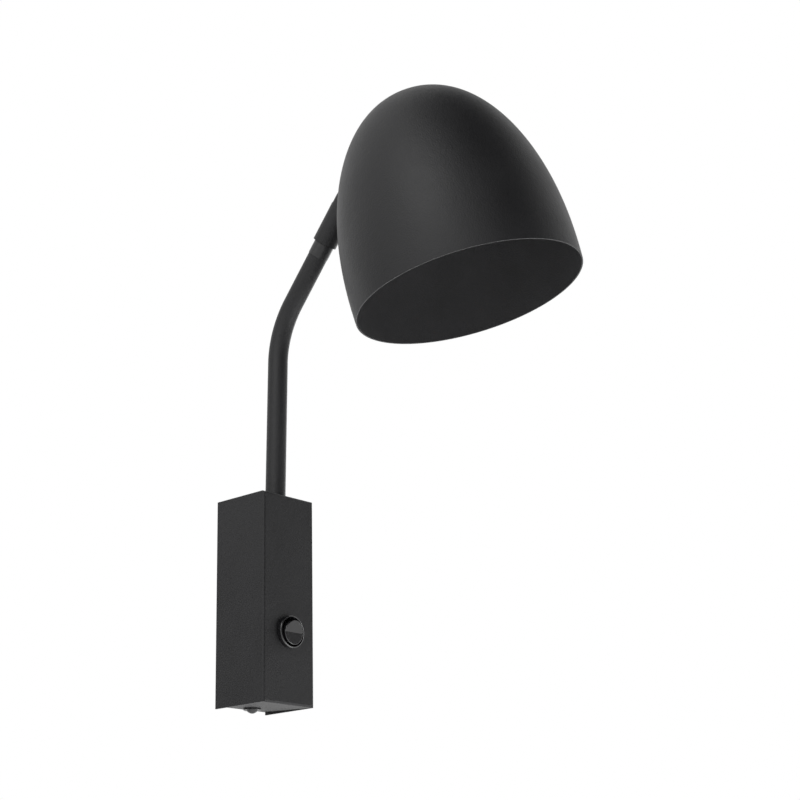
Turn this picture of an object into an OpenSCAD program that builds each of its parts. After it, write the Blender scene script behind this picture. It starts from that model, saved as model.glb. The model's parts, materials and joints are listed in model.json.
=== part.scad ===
// Wall lamp with a folded sheet housing, a bent tube arm and a spun dome shade.
// X runs across the lamp, the wall is the plane Y = 0 and the lamp stands out towards -Y, Z is up.
// The origin lies on the wall, midway between the two wall screws.

/* [Housing] */
// Width of the housing across the wall
box_w = 50; // [46:1:70]
// Depth of the housing out from the wall
box_d = 49; // [47:1:70]
// Height of the housing
box_h = 151; // [146:1:200]
// Thickness of the folded sheet
sheet = 1.2; // [0.8:0.1:1.6]
// Outer radius of the folded edges
fold_r = 1.8; // [1.8:0.1:3]
// Height of the folded bottom above the lower edge of the sides, at the wall
recess = 2; // [1:0.5:4]
// Height of the hanging flange at the back of the top
hook_h = 5; // [3:0.5:8]

/* [Wall bracket] */
// Height of the origin above the lower edge of the housing
wall_mid = 75; // [70:1:80]
// Distance between the two wall screws
wall_screw_gap = 80; // [60:1:90]
// Diameter of a wall screw hole
wall_hole_d = 4.6; // [3.5:0.1:6]
// Thickness of the bracket
bracket_t = 1.5; // [1:0.1:2]
// Diameter of the cable hole in the bracket
cable_hole_d = 14; // [10:0.5:18]
// Bore of the cable bush
cable_bore = 9; // [6:0.5:9]
// Distance of the fixing screw from the wall
screw_y = 11.5; // [9:0.5:16]
// Diameter of the fixing screw
screw_d = 4; // [3:0.5:5]

/* [Switch] */
// Height of the switch above the lower edge of the housing
switch_h = 51; // [38:1:55]
// Diameter of the switch rim
rim_d = 23.4; // [22:0.2:26]
// Height of the switch rim above the front
rim_t = 3.8; // [3:0.1:4.5]
// Diameter of the switch barrel
barrel_d = 19.8; // [19:0.1:21]
// Depth of the switch barrel behind the front
barrel_l = 14; // [13:0.5:18]
// Diameter of the rocker
rocker_d = 17.2; // [16:0.1:17.2]
// Height of the rocker's raised ends above the front
rocker_rise = 6.1; // [5:0.1:7]
// Tilt of the rocker to either side
rocker_tilt = 7; // [4:0.5:8]

/* [Arm] */
// Distance of the arm from the wall at its foot
stem_y = 35; // [27:0.5:36]
// Outer diameter of the arm tube
tube_d = 14.8; // [14:0.1:16]
// Wall of the arm tube
tube_wall = 1.2; // [0.8:0.1:1.5]
// Forward lean of the upright part of the arm
lean = 1.4; // [0:0.1:3]
// Height of the corner of the arm above the housing, along the upright part
knee_h = 130; // [90:1:180]
// Slope of the upper part of the arm, from the vertical
arm_slope = 40.4; // [20:0.2:60]
// Bend radius of the arm on its centre line
bend_r = 70; // [40:1:80]
// Length of the tube above its corner
tube_end = 65; // [50:0.5:90]
// Diameter of the threaded foot of the arm
thread_d = 10; // [8:0.5:11]
// Diameter of the lead in the arm and the shade
lead_d = 4.6; // [3.5:0.1:5]

/* [Swivel] */
// Turn of the head about the upper arm
turn = 11.1; // [-60:0.1:60]
// Turn of the head that the stop allows to either side
turn_max = 90; // [30:1:120]
// Diameter of the collar below the sleeve
collar_d = 15.4; // [15:0.1:17]
// Length of the collar below the sleeve
collar_l = 10.6; // [6:0.2:16]
// Outer diameter of the sleeve
sleeve_d = 18.4; // [18:0.1:22]
// Length of the sleeve
sleeve_l = 28; // [27.5:0.5:40]
// Diameter of the journal inside the sleeve
journal_d = 14; // [13:0.1:14]

/* [Tilt joint] */
// Angle between the upper arm and the axis of the shade
tilt = 51.5; // [40:0.5:70]
// Distance from the end of the sleeve to the tilt axis
pivot_l = 8.4; // [8:0.1:14]
// Radius of the fork cheeks and the knuckle ears
cheek_r = 5.5; // [4.5:0.1:6]
// Diameter of the tilt screws
pin_d = 4; // [3:0.1:4]
// Height of the tilt axis above the shade
stand = 9; // [8.5:0.1:14]
// Height of the knuckle's foot above the rim of the shade
foot_h = 108; // [95:0.5:115]

/* [Shade] */
// Radius of the shade at its rim
shade_r = 83; // [75:0.5:100]
// Height of the shade
shade_h = 160; // [150:0.5:190]
// Thickness of the shade
shade_wall = 1; // [0.8:0.1:2]
// Squareness of the dome along its axis
dome_m = 2.12; // [1.8:0.02:2.6]
// Squareness of the dome across its axis
dome_k = 2.3; // [1.9:0.02:2.6]
// Fullness of the dome above its rim
dome_belly = 0.107; // [0:0.001:0.15]

/* [Lamp holder] */
// Depth of the holder plate below the top of the shade
plate_drop = 23.5; // [22:0.5:30]
// Outer diameter of the lamp holder
holder_d = 40; // [36:0.5:44]
// Length of the lamp holder below its plate
holder_l = 52; // [48:0.5:60]
// Inner diameter of the threaded shell for the bulb
shell_d = 26.6; // [26.4:0.1:27]
// Length of the threaded shell
shell_l = 22; // [18:0.5:25]

/* [Hidden] */
$fn = 96;

coat = "#2b2b2c";
zinc = "#b9bcc0";
brass = "#c8a24a";
black_plastic = "#161617";
white_plastic = "#e6e3da";

// Radial clearance of a pin or screw in its hole, and of turning pieces
run = 0.05;
// Gap between fixed pieces that lie side by side
gap = 0.1;
// Gap between pieces that move past each other
play = 0.3;
// Length by which a cut runs past the face that it opens
cut = 1;

floor_z = -wall_mid;
top_z = floor_z + box_h;
fold_in = fold_r - sheet;

module along_x(length) { rotate([90, 0, 90]) linear_extrude(length, center = true) children(); }
module along_y(length) { rotate([90, 0, 0]) linear_extrude(length) children(); }

module ring(r_out, r_in, height) {
    difference() {
        cylinder(r = r_out, h = height);
        translate([0, 0, -cut]) cylinder(r = r_in, h = height + 2 * cut);
    }
}

// A wire that bends smoothly through a list of points: rings of a few sides, joined into one tube
wire_sides = 8;
wire_steps = 5;
function unit(v) = v / norm(v);
function along(p, i, t) = let(a = p[max(i - 1, 0)], b = p[i], c = p[i + 1], d = p[min(i + 2, len(p) - 1)])
    0.5 * (2 * b + (c - a) * t + (2 * a - 5 * b + 4 * c - d) * t * t + (3 * b - a - 3 * c + d) * t * t * t);
function route(p) = concat([for (i = [0 : len(p) - 2]) for (s = [0 : wire_steps - 1]) along(p, i, s / wire_steps)],
    [p[len(p) - 1]]);
function headings(q) = [for (i = [0 : len(q) - 1]) unit(q[min(i + 1, len(q) - 1)] - q[max(i - 1, 0)])];
function sideways(d) = let(first = unit(cross(d[0], [1, 0.2, 0.3])))
    [for (i = 0, n = first; i < len(d);
        i = i + 1, n = i < len(d) ? unit(n - (n * d[i]) * d[i]) : n) n];
module wire(points, d) {
    q = route(points);
    dirs = headings(q);
    sides = sideways(dirs);
    m = wire_sides;
    last = (len(q) - 1) * m;
    skin = [for (i = [0 : len(q) - 2]) for (k = [0 : m - 1]) let(a = i * m + k, b = i * m + (k + 1) % m)
        each [[a, a + m, b], [b, a + m, b + m]]];
    polyhedron([for (i = [0 : len(q) - 1]) let(n = sides[i], b = cross(dirs[i], n)) for (k = [0 : m - 1])
        q[i] + d / 2 * (cos(360 * k / m) * n + sin(360 * k / m) * b)],
        concat(skin, [[for (k = [0 : m - 1]) k]], [[for (k = [m - 1 : -1 : 0]) last + k]]));
}

// Rectangle whose low-x corners, or only the lower or upper one, are rounded
module front_rounded(x0, x1, y0, y1, r_low, r_high) {
    difference() {
        translate([x0, y0]) square([x1 - x0, y1 - y0]);
        if (r_low > 0) translate([x0, y0]) corner_waste(r_low);
        if (r_high > 0) translate([x0, y1]) mirror([0, 1]) corner_waste(r_high);
    }
}
module corner_waste(r) {
    difference() {
        translate([-cut, -cut]) square(r + cut);
        translate([r, r]) circle(r);
    }
}

// The housing: one folded sheet with a front, two sides, a top and a bottom
relief_w = 1.6;
relief_h = 2.4;
panel_hole_d = barrel_d + 0.4;
lip_y = 3.5;
arm_hole_d = thread_d + 0.4;

module box_solid(inset, low) {
    intersection() {
        translate([0, 0, low]) linear_extrude(top_z - inset - low) rotate(90)
            front_rounded(-box_d + inset, inset > 0 ? cut : 0, -box_w / 2 + inset, box_w / 2 - inset,
                fold_r - inset, fold_r - inset);
        along_x(box_w) front_rounded(-box_d + inset, inset > 0 ? cut : 0, low, top_z - inset,
            inset > 0 ? 0 : fold_r, fold_r - inset);
    }
}

// The bottom is folded back from the front and rises towards the wall
bottom_w = box_w - 2 * sheet - 2 * play;
bottom_back = 0.5;
bottom_l = box_d - fold_r - bottom_back;
function bottom_z(y) = floor_z + recess * (box_d - fold_r - y) / bottom_l;

module bottom_fold() {
    translate([0, fold_r - box_d, floor_z + fold_r]) along_x(bottom_w) {
        intersection() {
            difference() {
                circle(fold_r);
                circle(fold_in);
            }
            translate([-fold_r, -fold_r]) square(fold_r);
        }
        polygon([[0, -fold_r], [bottom_l, recess - fold_r], [bottom_l, recess - fold_in], [0, -fold_in]]);
    }
}

module housing() {
    color(coat) {
        difference() {
            box_solid(0, floor_z);
            box_solid(sheet, floor_z - cut);
            switch_place() translate([0, 0, -sheet - cut]) cylinder(d = panel_hole_d, h = sheet + 2 * cut);
            stem_place() translate([0, 0, -sheet - cut]) cylinder(d = arm_hole_d, h = sheet + 2 * cut);
            for (side = [-1, 1]) translate([side * box_w / 2, -box_d, top_z - relief_h]) rotate(45)
                cube([relief_w, relief_w, 2 * relief_h], center = true);
            translate([-bottom_w / 2, -box_d - cut, floor_z - cut]) cube([bottom_w, sheet + 2 * cut, fold_r + cut]);
        }
        difference() {
            bottom_fold();
            translate([0, -screw_y, floor_z - cut]) cylinder(d = screw_d + 0.8, h = 2 * cut + recess + sheet);
        }
        translate([-box_w / 2 + sheet + lip_y, -lip_y - sheet, top_z - sheet - hook_h])
            cube([box_w - 2 * sheet - 2 * lip_y, sheet, hook_h + sheet / 2]);
    }
}

// The wall bracket, with a tab folded out at each end
bracket_w = box_w - 4 * sheet - 2 * gap - 2;
tab_z = floor_z + recess + sheet + play;
tab_w = 24;
tab_l = 21;
bend_in = 0.8;
hook_z = top_z - sheet - hook_h - gap;
hook_l = lip_y + sheet + play;
hook_rise = hook_h - 2 * play;

// An angle whose upright leg stands on Y = 0 and whose lower leg reaches out
module angle_outline(reach, rise) {
    r = bend_in + bracket_t;
    translate([-bracket_t, r]) square([bracket_t, rise - r]);
    translate([-reach, 0]) square([reach - r, bracket_t]);
    intersection() {
        translate([-r, 0]) square(r);
        translate([-r, r]) difference() {
            circle(r);
            circle(bend_in);
        }
    }
}

nut_r = 4;
nut_t = 3.2;
nut_collar_r = 2.8;
block_z = 20;
earth_x = bracket_w / 2 - 7.5;
earth_z = -20;
m3 = 3;
m4 = 4;

module wall_bracket() {
    color(zinc) difference() {
        union() {
            translate([0, 0, tab_z]) along_x(tab_w) angle_outline(tab_l, hook_z - tab_z - tab_l);
            translate([0, 0, hook_z]) mirror([0, 0, 1]) along_x(bracket_w)
                angle_outline(hook_l + bracket_t, hook_z - tab_z - bracket_t - bend_in);
            translate([-bracket_w / 2, -hook_l - bracket_t, hook_z - bracket_t])
                cube([bracket_w, bracket_t, bracket_t + hook_rise]);
        }
        for (side = [-1, 1]) translate([0, cut, side * wall_screw_gap / 2]) along_y(bracket_t + 2 * cut)
            circle(d = wall_hole_d);
        translate([0, cut, 0]) along_y(bracket_t + 2 * cut) circle(d = cable_hole_d);
        block_screw_place() along_y(bracket_t + cut) circle(d = m3 + 2 * run);
        translate([earth_x, cut, earth_z]) along_y(bracket_t + 2 * cut) circle(d = m4 + 2 * run);
        translate([0, -screw_y, tab_z - cut]) cylinder(r = nut_collar_r + run, h = bracket_t + 2 * cut);
    }
}

module press_nut() {
    color(zinc) translate([0, -screw_y, tab_z]) difference() {
        union() {
            cylinder(r = nut_collar_r, h = bracket_t);
            translate([0, 0, bracket_t]) cylinder(r = nut_r, h = nut_t);
        }
        translate([0, 0, -cut]) cylinder(d = screw_d + 2 * run, h = bracket_t + nut_t + 2 * cut);
    }
}

// Flanged screw with a low domed head, driven from below
flange_d = 12.6;
flange_t = 1.2;
head_d = 8.4;
head_h = 2.4;
hex_w = 2.5;
head_z = bottom_z(screw_y + flange_d / 2);
module fixing_screw() {
    shank = tab_z + bracket_t + nut_t + cut - head_z;
    dome_r = (head_d * head_d / 4 + head_h * head_h) / (2 * head_h);
    color(black_plastic) translate([0, -screw_y, head_z]) difference() {
        union() {
            cylinder(d = screw_d, h = shank);
            translate([0, 0, -flange_t]) cylinder(d = flange_d, h = flange_t);
            translate([0, 0, -flange_t]) intersection() {
                translate([0, 0, dome_r - head_h]) sphere(dome_r);
                translate([0, 0, -head_h]) cylinder(d = flange_d, h = head_h);
            }
        }
        translate([0, 0, -flange_t - head_h - cut])
            cylinder(d = hex_w / cos(30), h = cut + head_h - 0.4, $fn = 6);
    }
}

// Snap-in bush for the supply cable
bush_flange = 2;
module cable_bush() {
    color(black_plastic) rotate([90, 0, 0]) difference() {
        union() {
            cylinder(d = cable_hole_d - 2 * run, h = bracket_t);
            translate([0, 0, bracket_t]) cylinder(d = cable_hole_d + 2 * bush_flange, h = bush_flange);
        }
        translate([0, 0, -cut]) cylinder(d = cable_bore, h = bracket_t + bush_flange + 2 * cut);
    }
}

// Three-pole terminal block
poles = [-1, 0, 1];
pole_gap = 9.5;
block_w = 30;
block_t = 14;
block_h = 16;
block_step = 3;
block_top = block_z + block_h / 2;
block_seat = bracket_t + block_t - block_step - 2;
clamp_d = 4.6;
clamp_bore = 2.9;
clamp_l = 14;
clamp_y = bracket_t + 5.5;
clamp_screw_z = 4;
well_d = 3.8;
clamp_screw_d = 2.4;
core_d = 1.8;

module at_poles() { for (p = poles) translate([p * pole_gap, 0, block_z]) children(); }
module at_clamp_screws() {
    at_poles() for (side = [-1, 1]) translate([0, 0, side * clamp_screw_z]) children();
}
module block_screw_place() { translate([-pole_gap / 2, 0, block_z]) children(); }

module terminal_block() {
    color(white_plastic) difference() {
        union() {
            translate([-block_w / 2, -bracket_t - block_t + block_step, block_z - block_h / 2])
                cube([block_w, block_t - block_step, block_h]);
            at_poles() translate([-3.4, -bracket_t - block_t, -block_h / 2]) cube([6.8, block_t, block_h]);
        }
        at_poles() translate([0, -clamp_y, -block_h / 2 - cut])
            cylinder(d = clamp_d + 2 * run, h = block_h + 2 * cut);
        at_clamp_screws() translate([0, -clamp_y, 0]) along_y(block_t) circle(d = well_d);
        block_screw_place() along_y(block_t + 2 * cut) circle(d = m3 + 2 * run);
        block_screw_place() translate([0, -block_seat, 0]) along_y(block_t) circle(d = 4.4);
    }
}
module terminal_clamps() {
    color(brass) difference() {
        at_poles() translate([0, -clamp_y, -clamp_l / 2]) ring(clamp_d / 2, clamp_bore / 2, clamp_l);
        at_clamp_screws() translate([0, -clamp_y, 0]) along_y(clamp_d) circle(d = clamp_screw_d + 2 * run);
    }
}
module terminal_screws() {
    tip = clamp_y + core_d / 2 + 0.1;
    color(zinc) at_clamp_screws() difference() {
        translate([0, -tip, 0]) along_y(3.4) circle(d = clamp_screw_d);
        translate([0, -tip - 3.4, 0]) cube([0.6, 1.4, 3], center = true);
    }
}
module block_screw() {
    color(zinc) block_screw_place() {
        translate([0, -gap, 0]) along_y(block_seat - gap) circle(d = m3);
        translate([0, -block_seat, 0]) along_y(1.6) difference() {
            circle(d = 4.2);
            square([0.7, 5], center = true);
        }
    }
}

// Earth point on the bracket
tag_t = 0.8;
washer_t = 0.8;
module earth_place() { translate([earth_x, -bracket_t, earth_z]) children(); }
module earth_tag() {
    color(brass) earth_place() difference() {
        union() {
            along_y(tag_t) circle(d = 8);
            translate([-1.6, -tag_t, 0]) cube([3.2, tag_t, 11]);
        }
        translate([0, cut, 0]) along_y(tag_t + 2 * cut) circle(d = m4 + 2 * run);
    }
}
module earth_washer() {
    color(zinc) earth_place() translate([0, -tag_t, 0]) along_y(washer_t) difference() {
        circle(d = 9);
        circle(d = m4 + 2 * run);
    }
}
module earth_screw() {
    stack = tag_t + washer_t;
    color(zinc) earth_place() {
        translate([0, bracket_t - gap, 0]) along_y(bracket_t - gap + stack) circle(d = m4);
        translate([0, -stack, 0]) along_y(2.4) difference() {
            circle(d = 7.5);
            square([1, 9], center = true);
        }
    }
}

// Leads inside the housing. Each ends straight, inside a clamp or a sleeve or on the earth tag
core_end = block_z + clamp_l / 2 - 5;
core_low = block_z - clamp_l / 2 + 5;
core_spread = 1.2;
function into_pole(p) = [[p * pole_gap, -clamp_y, block_top + 6], [p * pole_gap, -clamp_y, block_top],
    [p * pole_gap, -clamp_y, core_end]];
function into_spade(z) = [[0, spade_y + 5, z], [0, spade_y, z], [0, spade_y - crimp_l + gap, z]];
module earth_lead() {
    tag_y = bracket_t + tag_t + core_d / 2 + gap;
    color("#7ba03c") wire([[pole_gap, -clamp_y, core_low], [pole_gap, -clamp_y, core_low - 6],
        [pole_gap, -clamp_y, core_low - 11], [12, -5, earth_z + 20], [earth_x, -tag_y, earth_z + 13],
        [earth_x, -tag_y, earth_z + 10], [earth_x, -tag_y, earth_z + 5.5]], core_d);
}
module feed_lead() {
    color("#5a3a28") wire(concat(reversed(into_pole(-1)), [[-14, -9, block_top + 9],
        [-19, -10, block_top + 2], [-19.5, -10, block_z - 4], [-14, -10, 0], [-5, -10.5, switch_z() + 10],
        [-1, -12.5, switch_z() + 2]], into_spade(switch_z())), core_d);
}
module arm_cores() {
    low = stem_point(-sheath_tail - play);
    start = [for (a = [90, -30, 210]) low + core_spread * [cos(a), sin(a), 0]];
    next = [for (p = start) p + [0.3 * (p.x - low.x), 0.3 * (p.y - low.y), -4]];
    color("#6d6f73") {
        wire(concat([start[0], next[0], [0, -24, block_top + 14], [0, -12, block_top + 10.5]],
            into_pole(0)), core_d);
        wire(concat([start[1], next[1], [6, -27, block_top + 14], [9.3, -14, block_top + 11.5]],
            into_pole(1)), core_d);
        wire(concat([start[2], next[2], [-6, -31, block_top + 12], [-8, -27, block_z + 5],
            [-9, -25, block_z - 15], [-9.5, -22, switch_z() + 13], [-9, -18, switch_z() + 1],
            [-6, -13, switch_z() - 5], [-1, -13.5, switch_z() - blade_gap]],
            into_spade(switch_z() - blade_gap)), core_d);
    }
}

// The rocker switch, in a place whose Z points out of the front and whose Y is up
function switch_z() = floor_z + switch_h;
module switch_place() { translate([0, -box_d, switch_z()]) rotate([90, 0, 0]) children(); }

barrel_wall = 0.8;
well_r = barrel_d / 2 - barrel_wall;
base_t = 3;
hinge_z = -1.5;
trunnion_d = 2.4;
rim_round = 0.9;
lip_t = 1;
blade_w = 6.3;
blade_t = 0.8;
blade_l = 8;
blade_gap = 6.2;
wing_out = 0.9;
sweep_r = well_r + run;

module rim_outline() {
    difference() {
        translate([well_r, 0]) square([rim_d / 2 - well_r, rim_t]);
        translate([rim_d / 2, rim_t]) rotate(180) corner_waste(rim_round);
        polygon([[well_r - cut, 0], [well_r, 0], [rim_d / 2 - lip_t, rim_t], [rim_d / 2 - lip_t, rim_t + cut],
            [well_r - cut, rim_t + cut]]);
    }
}
module switch_body() {
    color(black_plastic) switch_place() difference() {
        union() {
            rotate_extrude() rim_outline();
            translate([0, 0, -barrel_l]) cylinder(d = barrel_d, h = barrel_l);
            for (side = [-1, 1]) translate([side * (barrel_d / 2), 0, -sheet - gap - 2])
                cube([2 * wing_out, 6, 4], center = true);
        }
        translate([0, 0, -barrel_l + base_t]) cylinder(r = well_r, h = barrel_l + rim_t + cut);
        translate([0, 0, hinge_z]) along_x(barrel_d + 4 * wing_out) circle(d = trunnion_d + 2 * run);
        for (y = [0, -blade_gap]) translate([0, y, -barrel_l])
            cube([blade_w + 2 * run, blade_t + 2 * run, 2 * base_t + cut], center = true);
    }
}

// The rocker in its middle place, turned about its hinge afterwards
stem_w = 5;
skirt_z = -4.5;
plunger_d = 2;
plunger_tip = 7.5;
module rocker_place(angle) {
    switch_place() translate([0, 0, hinge_z]) rotate([angle, 0, 0]) translate([0, 0, -hinge_z]) children();
}
module switch_rocker() {
    dip = rocker_d / 2 * tan(rocker_tilt);
    color(black_plastic) rocker_place(rocker_tilt) difference() {
        union() {
            intersection() {
                translate([0, 0, skirt_z]) cylinder(d = rocker_d, h = rocker_rise - skirt_z);
                along_x(rocker_d) {
                    translate([0, hinge_z]) circle(sweep_r);
                    translate([-rocker_d / 2, 0]) square([rocker_d, rocker_rise]);
                }
                along_x(rocker_d) polygon([[-rocker_d / 2, skirt_z], [rocker_d / 2, skirt_z],
                    [rocker_d / 2, rocker_rise], [0, rocker_rise - dip], [-rocker_d / 2, rocker_rise]]);
            }
            translate([0, 0, hinge_z]) along_x(barrel_d - 2 * gap) circle(d = trunnion_d);
            translate([-stem_w / 2, -stem_w / 2, skirt_z - 2]) cube([stem_w, stem_w, 3]);
        }
        translate([0, 0, skirt_z - 2 - cut]) cylinder(d = plunger_d + 2 * run, h = hinge_z - skirt_z + 2 + cut);
    }
}
module rocker_plunger() {
    color(white_plastic) rocker_place(rocker_tilt) {
        translate([0, 0, hinge_z - plunger_tip + plunger_d / 2])
            cylinder(d = plunger_d, h = plunger_tip - plunger_d / 2 - play);
        translate([0, 0, hinge_z - plunger_tip + plunger_d / 2]) sphere(d = plunger_d);
    }
}

// The rocking contact inside the switch turns the other way, by a share of the rocker's angle
contact_share = 0.6;
contact_z = -barrel_l + base_t + 1.4;
contact_t = 0.6;
contact_l = 12.4;
module switch_contact() {
    color(brass) switch_place() translate([0, 0, contact_z]) rotate([-rocker_tilt * contact_share, 0, 0]) {
        cube([4.4, contact_l, contact_t], center = true);
        for (side = [-1, 1]) translate([0, side * (contact_l / 2 - 1.2), -contact_t / 2 - 0.3])
            cylinder(d = 1.8, h = 0.6, $fn = 32);
    }
}
module switch_terminals() {
    drop = (contact_l / 2 - 0.3) * sin(rocker_tilt * contact_share);
    rises = [contact_z - contact_t / 2 - gap, contact_z - contact_t / 2 - 0.3 - drop - gap];
    color(brass) switch_place() for (i = [0, 1]) translate([-blade_w / 2, -i * blade_gap - blade_t / 2,
        -barrel_l - blade_l]) cube([blade_w, blade_t, rises[i] + barrel_l + blade_l]);
}
spade_l = 12.5;
crimp_l = 3;
spade_y = -box_d + barrel_l + gap + spade_l;
module spade_sleeves() {
    color("#a33a35") switch_place() for (y = [0, -blade_gap]) translate([0, y, -barrel_l - gap - spade_l])
        difference() {
            translate([-4.2, -1.7, 0]) cube([8.4, 3.4, spade_l]);
            translate([-blade_w / 2 - run, -blade_t / 2 - run, spade_l - blade_l - gap])
                cube([blade_w + 2 * run, blade_t + 2 * run, blade_l + cut]);
            translate([0, 0, -cut]) cylinder(d = core_d + 2 * gap, h = crimp_l + cut);
        }
}

// The arm, in a place whose Z runs up the leaning stem from the top of the housing
tube_r = tube_d / 2;
tube_in = tube_r - tube_wall;
bend = arm_slope - lean;
bend_cut = bend_r * tan(bend / 2);
stem_l = knee_h - bend_cut;
module stem_place() { translate([0, -stem_y, top_z]) rotate([lean, 0, 0]) children(); }
function stem_point(z) = [0, -stem_y - z * sin(lean), top_z + z * cos(lean)];
module reach_place() { stem_place() translate([0, 0, knee_h]) rotate([bend, 0, 0]) children(); }

// A bent tube between a place on the stem and a place on the upper arm, or a rod where its bore is 0.
// The bend is drawn in by a hair and reaches into the straight stretches, so that they join cleanly
drawn = 0.03;
bend_join = asin(cut / bend_r);
module bent_tube(r, r_in, low, high) {
    stem_place() translate([0, 0, low]) tube(r, r_in, stem_l - low);
    stem_place() translate([0, -bend_r, stem_l]) rotate([90, 0, 90]) rotate(-bend_join)
        rotate_extrude(angle = bend + 2 * bend_join, $fn = 192) translate([bend_r, 0]) difference() {
            circle(r - drawn, $fn = 96);
            if (r_in > 0) circle(r_in + drawn, $fn = 96);
        }
    reach_place() translate([0, 0, bend_cut]) tube(r, r_in, high - bend_cut);
}
module tube(r, r_in, height) {
    if (r_in > 0) ring(r, r_in, height);
    else cylinder(r = r, h = height);
}
module arm_tube() {
    color(coat) difference() {
        bent_tube(tube_r, tube_in, -cut, tube_end);
        translate([-tube_d, -stem_y - tube_d, top_z - 4 * cut]) cube([2 * tube_d, 2 * tube_d, 4 * cut]);
    }
}

// What holds the arm under the top of the housing
foot_plug_l = 15;
foot_tail_l = 16;
foot_bore = 7;
backing_t = 3;
backing_w = 36;
nut_h = 4;
nut_af = 14;
spring_t = 1.2;
module arm_foot() {
    color(zinc) stem_place() difference() {
        union() {
            translate([0, 0, play]) cylinder(r = tube_in - run, h = foot_plug_l - play);
            translate([0, 0, -foot_tail_l]) cylinder(d = thread_d, h = foot_tail_l + 2 * play);
        }
        translate([0, 0, -foot_tail_l - cut]) cylinder(d = foot_bore, h = foot_tail_l + foot_plug_l + 2 * cut);
    }
}
module backing_plate() {
    front = box_d - sheet - fold_in - gap;
    color(zinc) difference() {
        translate([-backing_w / 2, -front, top_z - sheet - backing_t])
            cube([backing_w, front - stem_y + backing_w / 3, backing_t]);
        stem_place() translate([0, 0, -sheet - backing_t - cut])
            cylinder(d = arm_hole_d, h = backing_t + 2 * cut);
    }
}
washer_top = sheet + backing_t + play;
module lock_washer() {
    color(zinc) stem_place() translate([0, 0, -washer_top - spring_t])
        ring(thread_d / 2 + 3.5, thread_d / 2 + 2 * run, spring_t);
}
module arm_nut() {
    color(zinc) stem_place() translate([0, 0, -washer_top - spring_t - nut_h]) difference() {
        cylinder(d = max(nut_af, thread_d + 3) / cos(30), h = nut_h, $fn = 6);
        translate([0, 0, -cut]) cylinder(d = thread_d + 2 * run, h = nut_h + 2 * cut);
    }
}
foot_bush_t = 1.2;
module foot_bush() {
    color(black_plastic) stem_place() translate([0, 0, -foot_tail_l - foot_bush_t]) difference() {
        union() {
            cylinder(d = thread_d - 2 * gap, h = foot_bush_t);
            cylinder(d = foot_bore - 2 * run, h = foot_bush_t + 6);
        }
        translate([0, 0, -cut]) cylinder(d = lead_d + 2 * gap, h = foot_bush_t + 6 + 2 * cut);
    }
}
sheath_tail = foot_tail_l + 5;
lead_end = tube_end + collar_l + 20;
module arm_lead() { color("#303032") bent_tube(lead_d / 2, 0, -sheath_tail, lead_end); }

// The swivel on the end of the arm
sleeve_z = tube_end + collar_l;
journal_r = journal_d / 2;
journal_l = 12.4;
neck_d = 10;
neck_bore = 6;
neck_l = 9;
web_z = sleeve_z + journal_l + 0.7;
web_t = 2.5;
stop_z = sleeve_z + 8.3;
stop_d = 3;
stop_tip = journal_r - 1.2;
groove_r = journal_r - 1.5;
groove_span = 2 * (turn_max + asin((stop_d / 2 + play) / groove_r));
module swivel_spindle() {
    color("#1d1d1e") reach_place() difference() {
        union() {
            translate([0, 0, tube_end - 14]) cylinder(r = tube_in - run, h = 14);
            translate([0, 0, tube_end]) cylinder(d = collar_d, h = collar_l);
            translate([0, 0, sleeve_z]) cylinder(r = journal_r, h = journal_l);
            translate([0, 0, sleeve_z + journal_l]) cylinder(d = neck_d, h = neck_l);
        }
        translate([0, 0, tube_end - 14 - cut]) cylinder(d = neck_bore, h = 14 + collar_l + journal_l + neck_l + 2 * cut);
        translate([0, 0, stop_z - stop_d / 2 - play]) rotate(90 - groove_span / 2)
            rotate_extrude(angle = groove_span) translate([groove_r, 0])
                square([journal_r - groove_r + cut, stop_d + 2 * play]);
    }
}
module swivel_place() { reach_place() rotate(turn) children(); }
module friction_washer() {
    color(white_plastic) swivel_place() translate([0, 0, sleeve_z + journal_l + 0.15])
        ring(journal_r - gap, neck_d / 2 + 2 * run, 0.4);
}
sleeve_top = sleeve_z + sleeve_l;
cavity_r = sleeve_d / 2 - 1.5;
fork_plug = 5.5;
fork_screw_z = sleeve_top - fork_plug / 2;
module head_sleeve() {
    color(coat) swivel_place() difference() {
        translate([0, 0, sleeve_z + 0.2]) cylinder(d = sleeve_d, h = sleeve_l - 0.2);
        translate([0, 0, sleeve_z - cut]) cylinder(r = journal_r + run, h = web_z - sleeve_z + cut);
        translate([0, 0, sleeve_z]) cylinder(d = neck_d + 2 * run, h = sleeve_l);
        translate([0, 0, web_z + web_t]) cylinder(r = cavity_r, h = sleeve_l);
        translate([0, 0, stop_z]) rotate([-90, 0, 0]) cylinder(d = stop_d + 2 * run, h = sleeve_d);
        translate([0, 0, fork_screw_z]) rotate([-90, 0, 0]) cylinder(d = m3 + 2 * run, h = sleeve_d);
    }
}
module wave_washer() {
    color(zinc) swivel_place() translate([0, 0, web_z + web_t + gap])
        ring(cavity_r - 2 * gap, neck_d / 2 + 2 * run, 0.6);
}
module swivel_nut() {
    color(brass) reach_place() translate([0, 0, web_z + web_t + 0.6 + 2 * gap]) difference() {
        ring(cavity_r - play, neck_d / 2 + run, 3.2);
        for (a = [0, 90]) rotate(a) translate([0, 0, 3.2]) cube([sleeve_d, 1.6, 2.4], center = true);
    }
}
module stop_screw() {
    color(black_plastic) swivel_place() translate([0, 0, stop_z]) rotate([-90, 0, 0])
        translate([0, 0, stop_tip]) grub(stop_d, sleeve_d / 2 - stop_tip - gap);
}
module fork_screw() {
    color(black_plastic) swivel_place() translate([0, 0, fork_screw_z]) rotate([-90, 0, 0])
        translate([0, 0, cavity_r - 2]) grub(m3, sleeve_d / 2 - cavity_r + 2 - gap);
}
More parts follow.
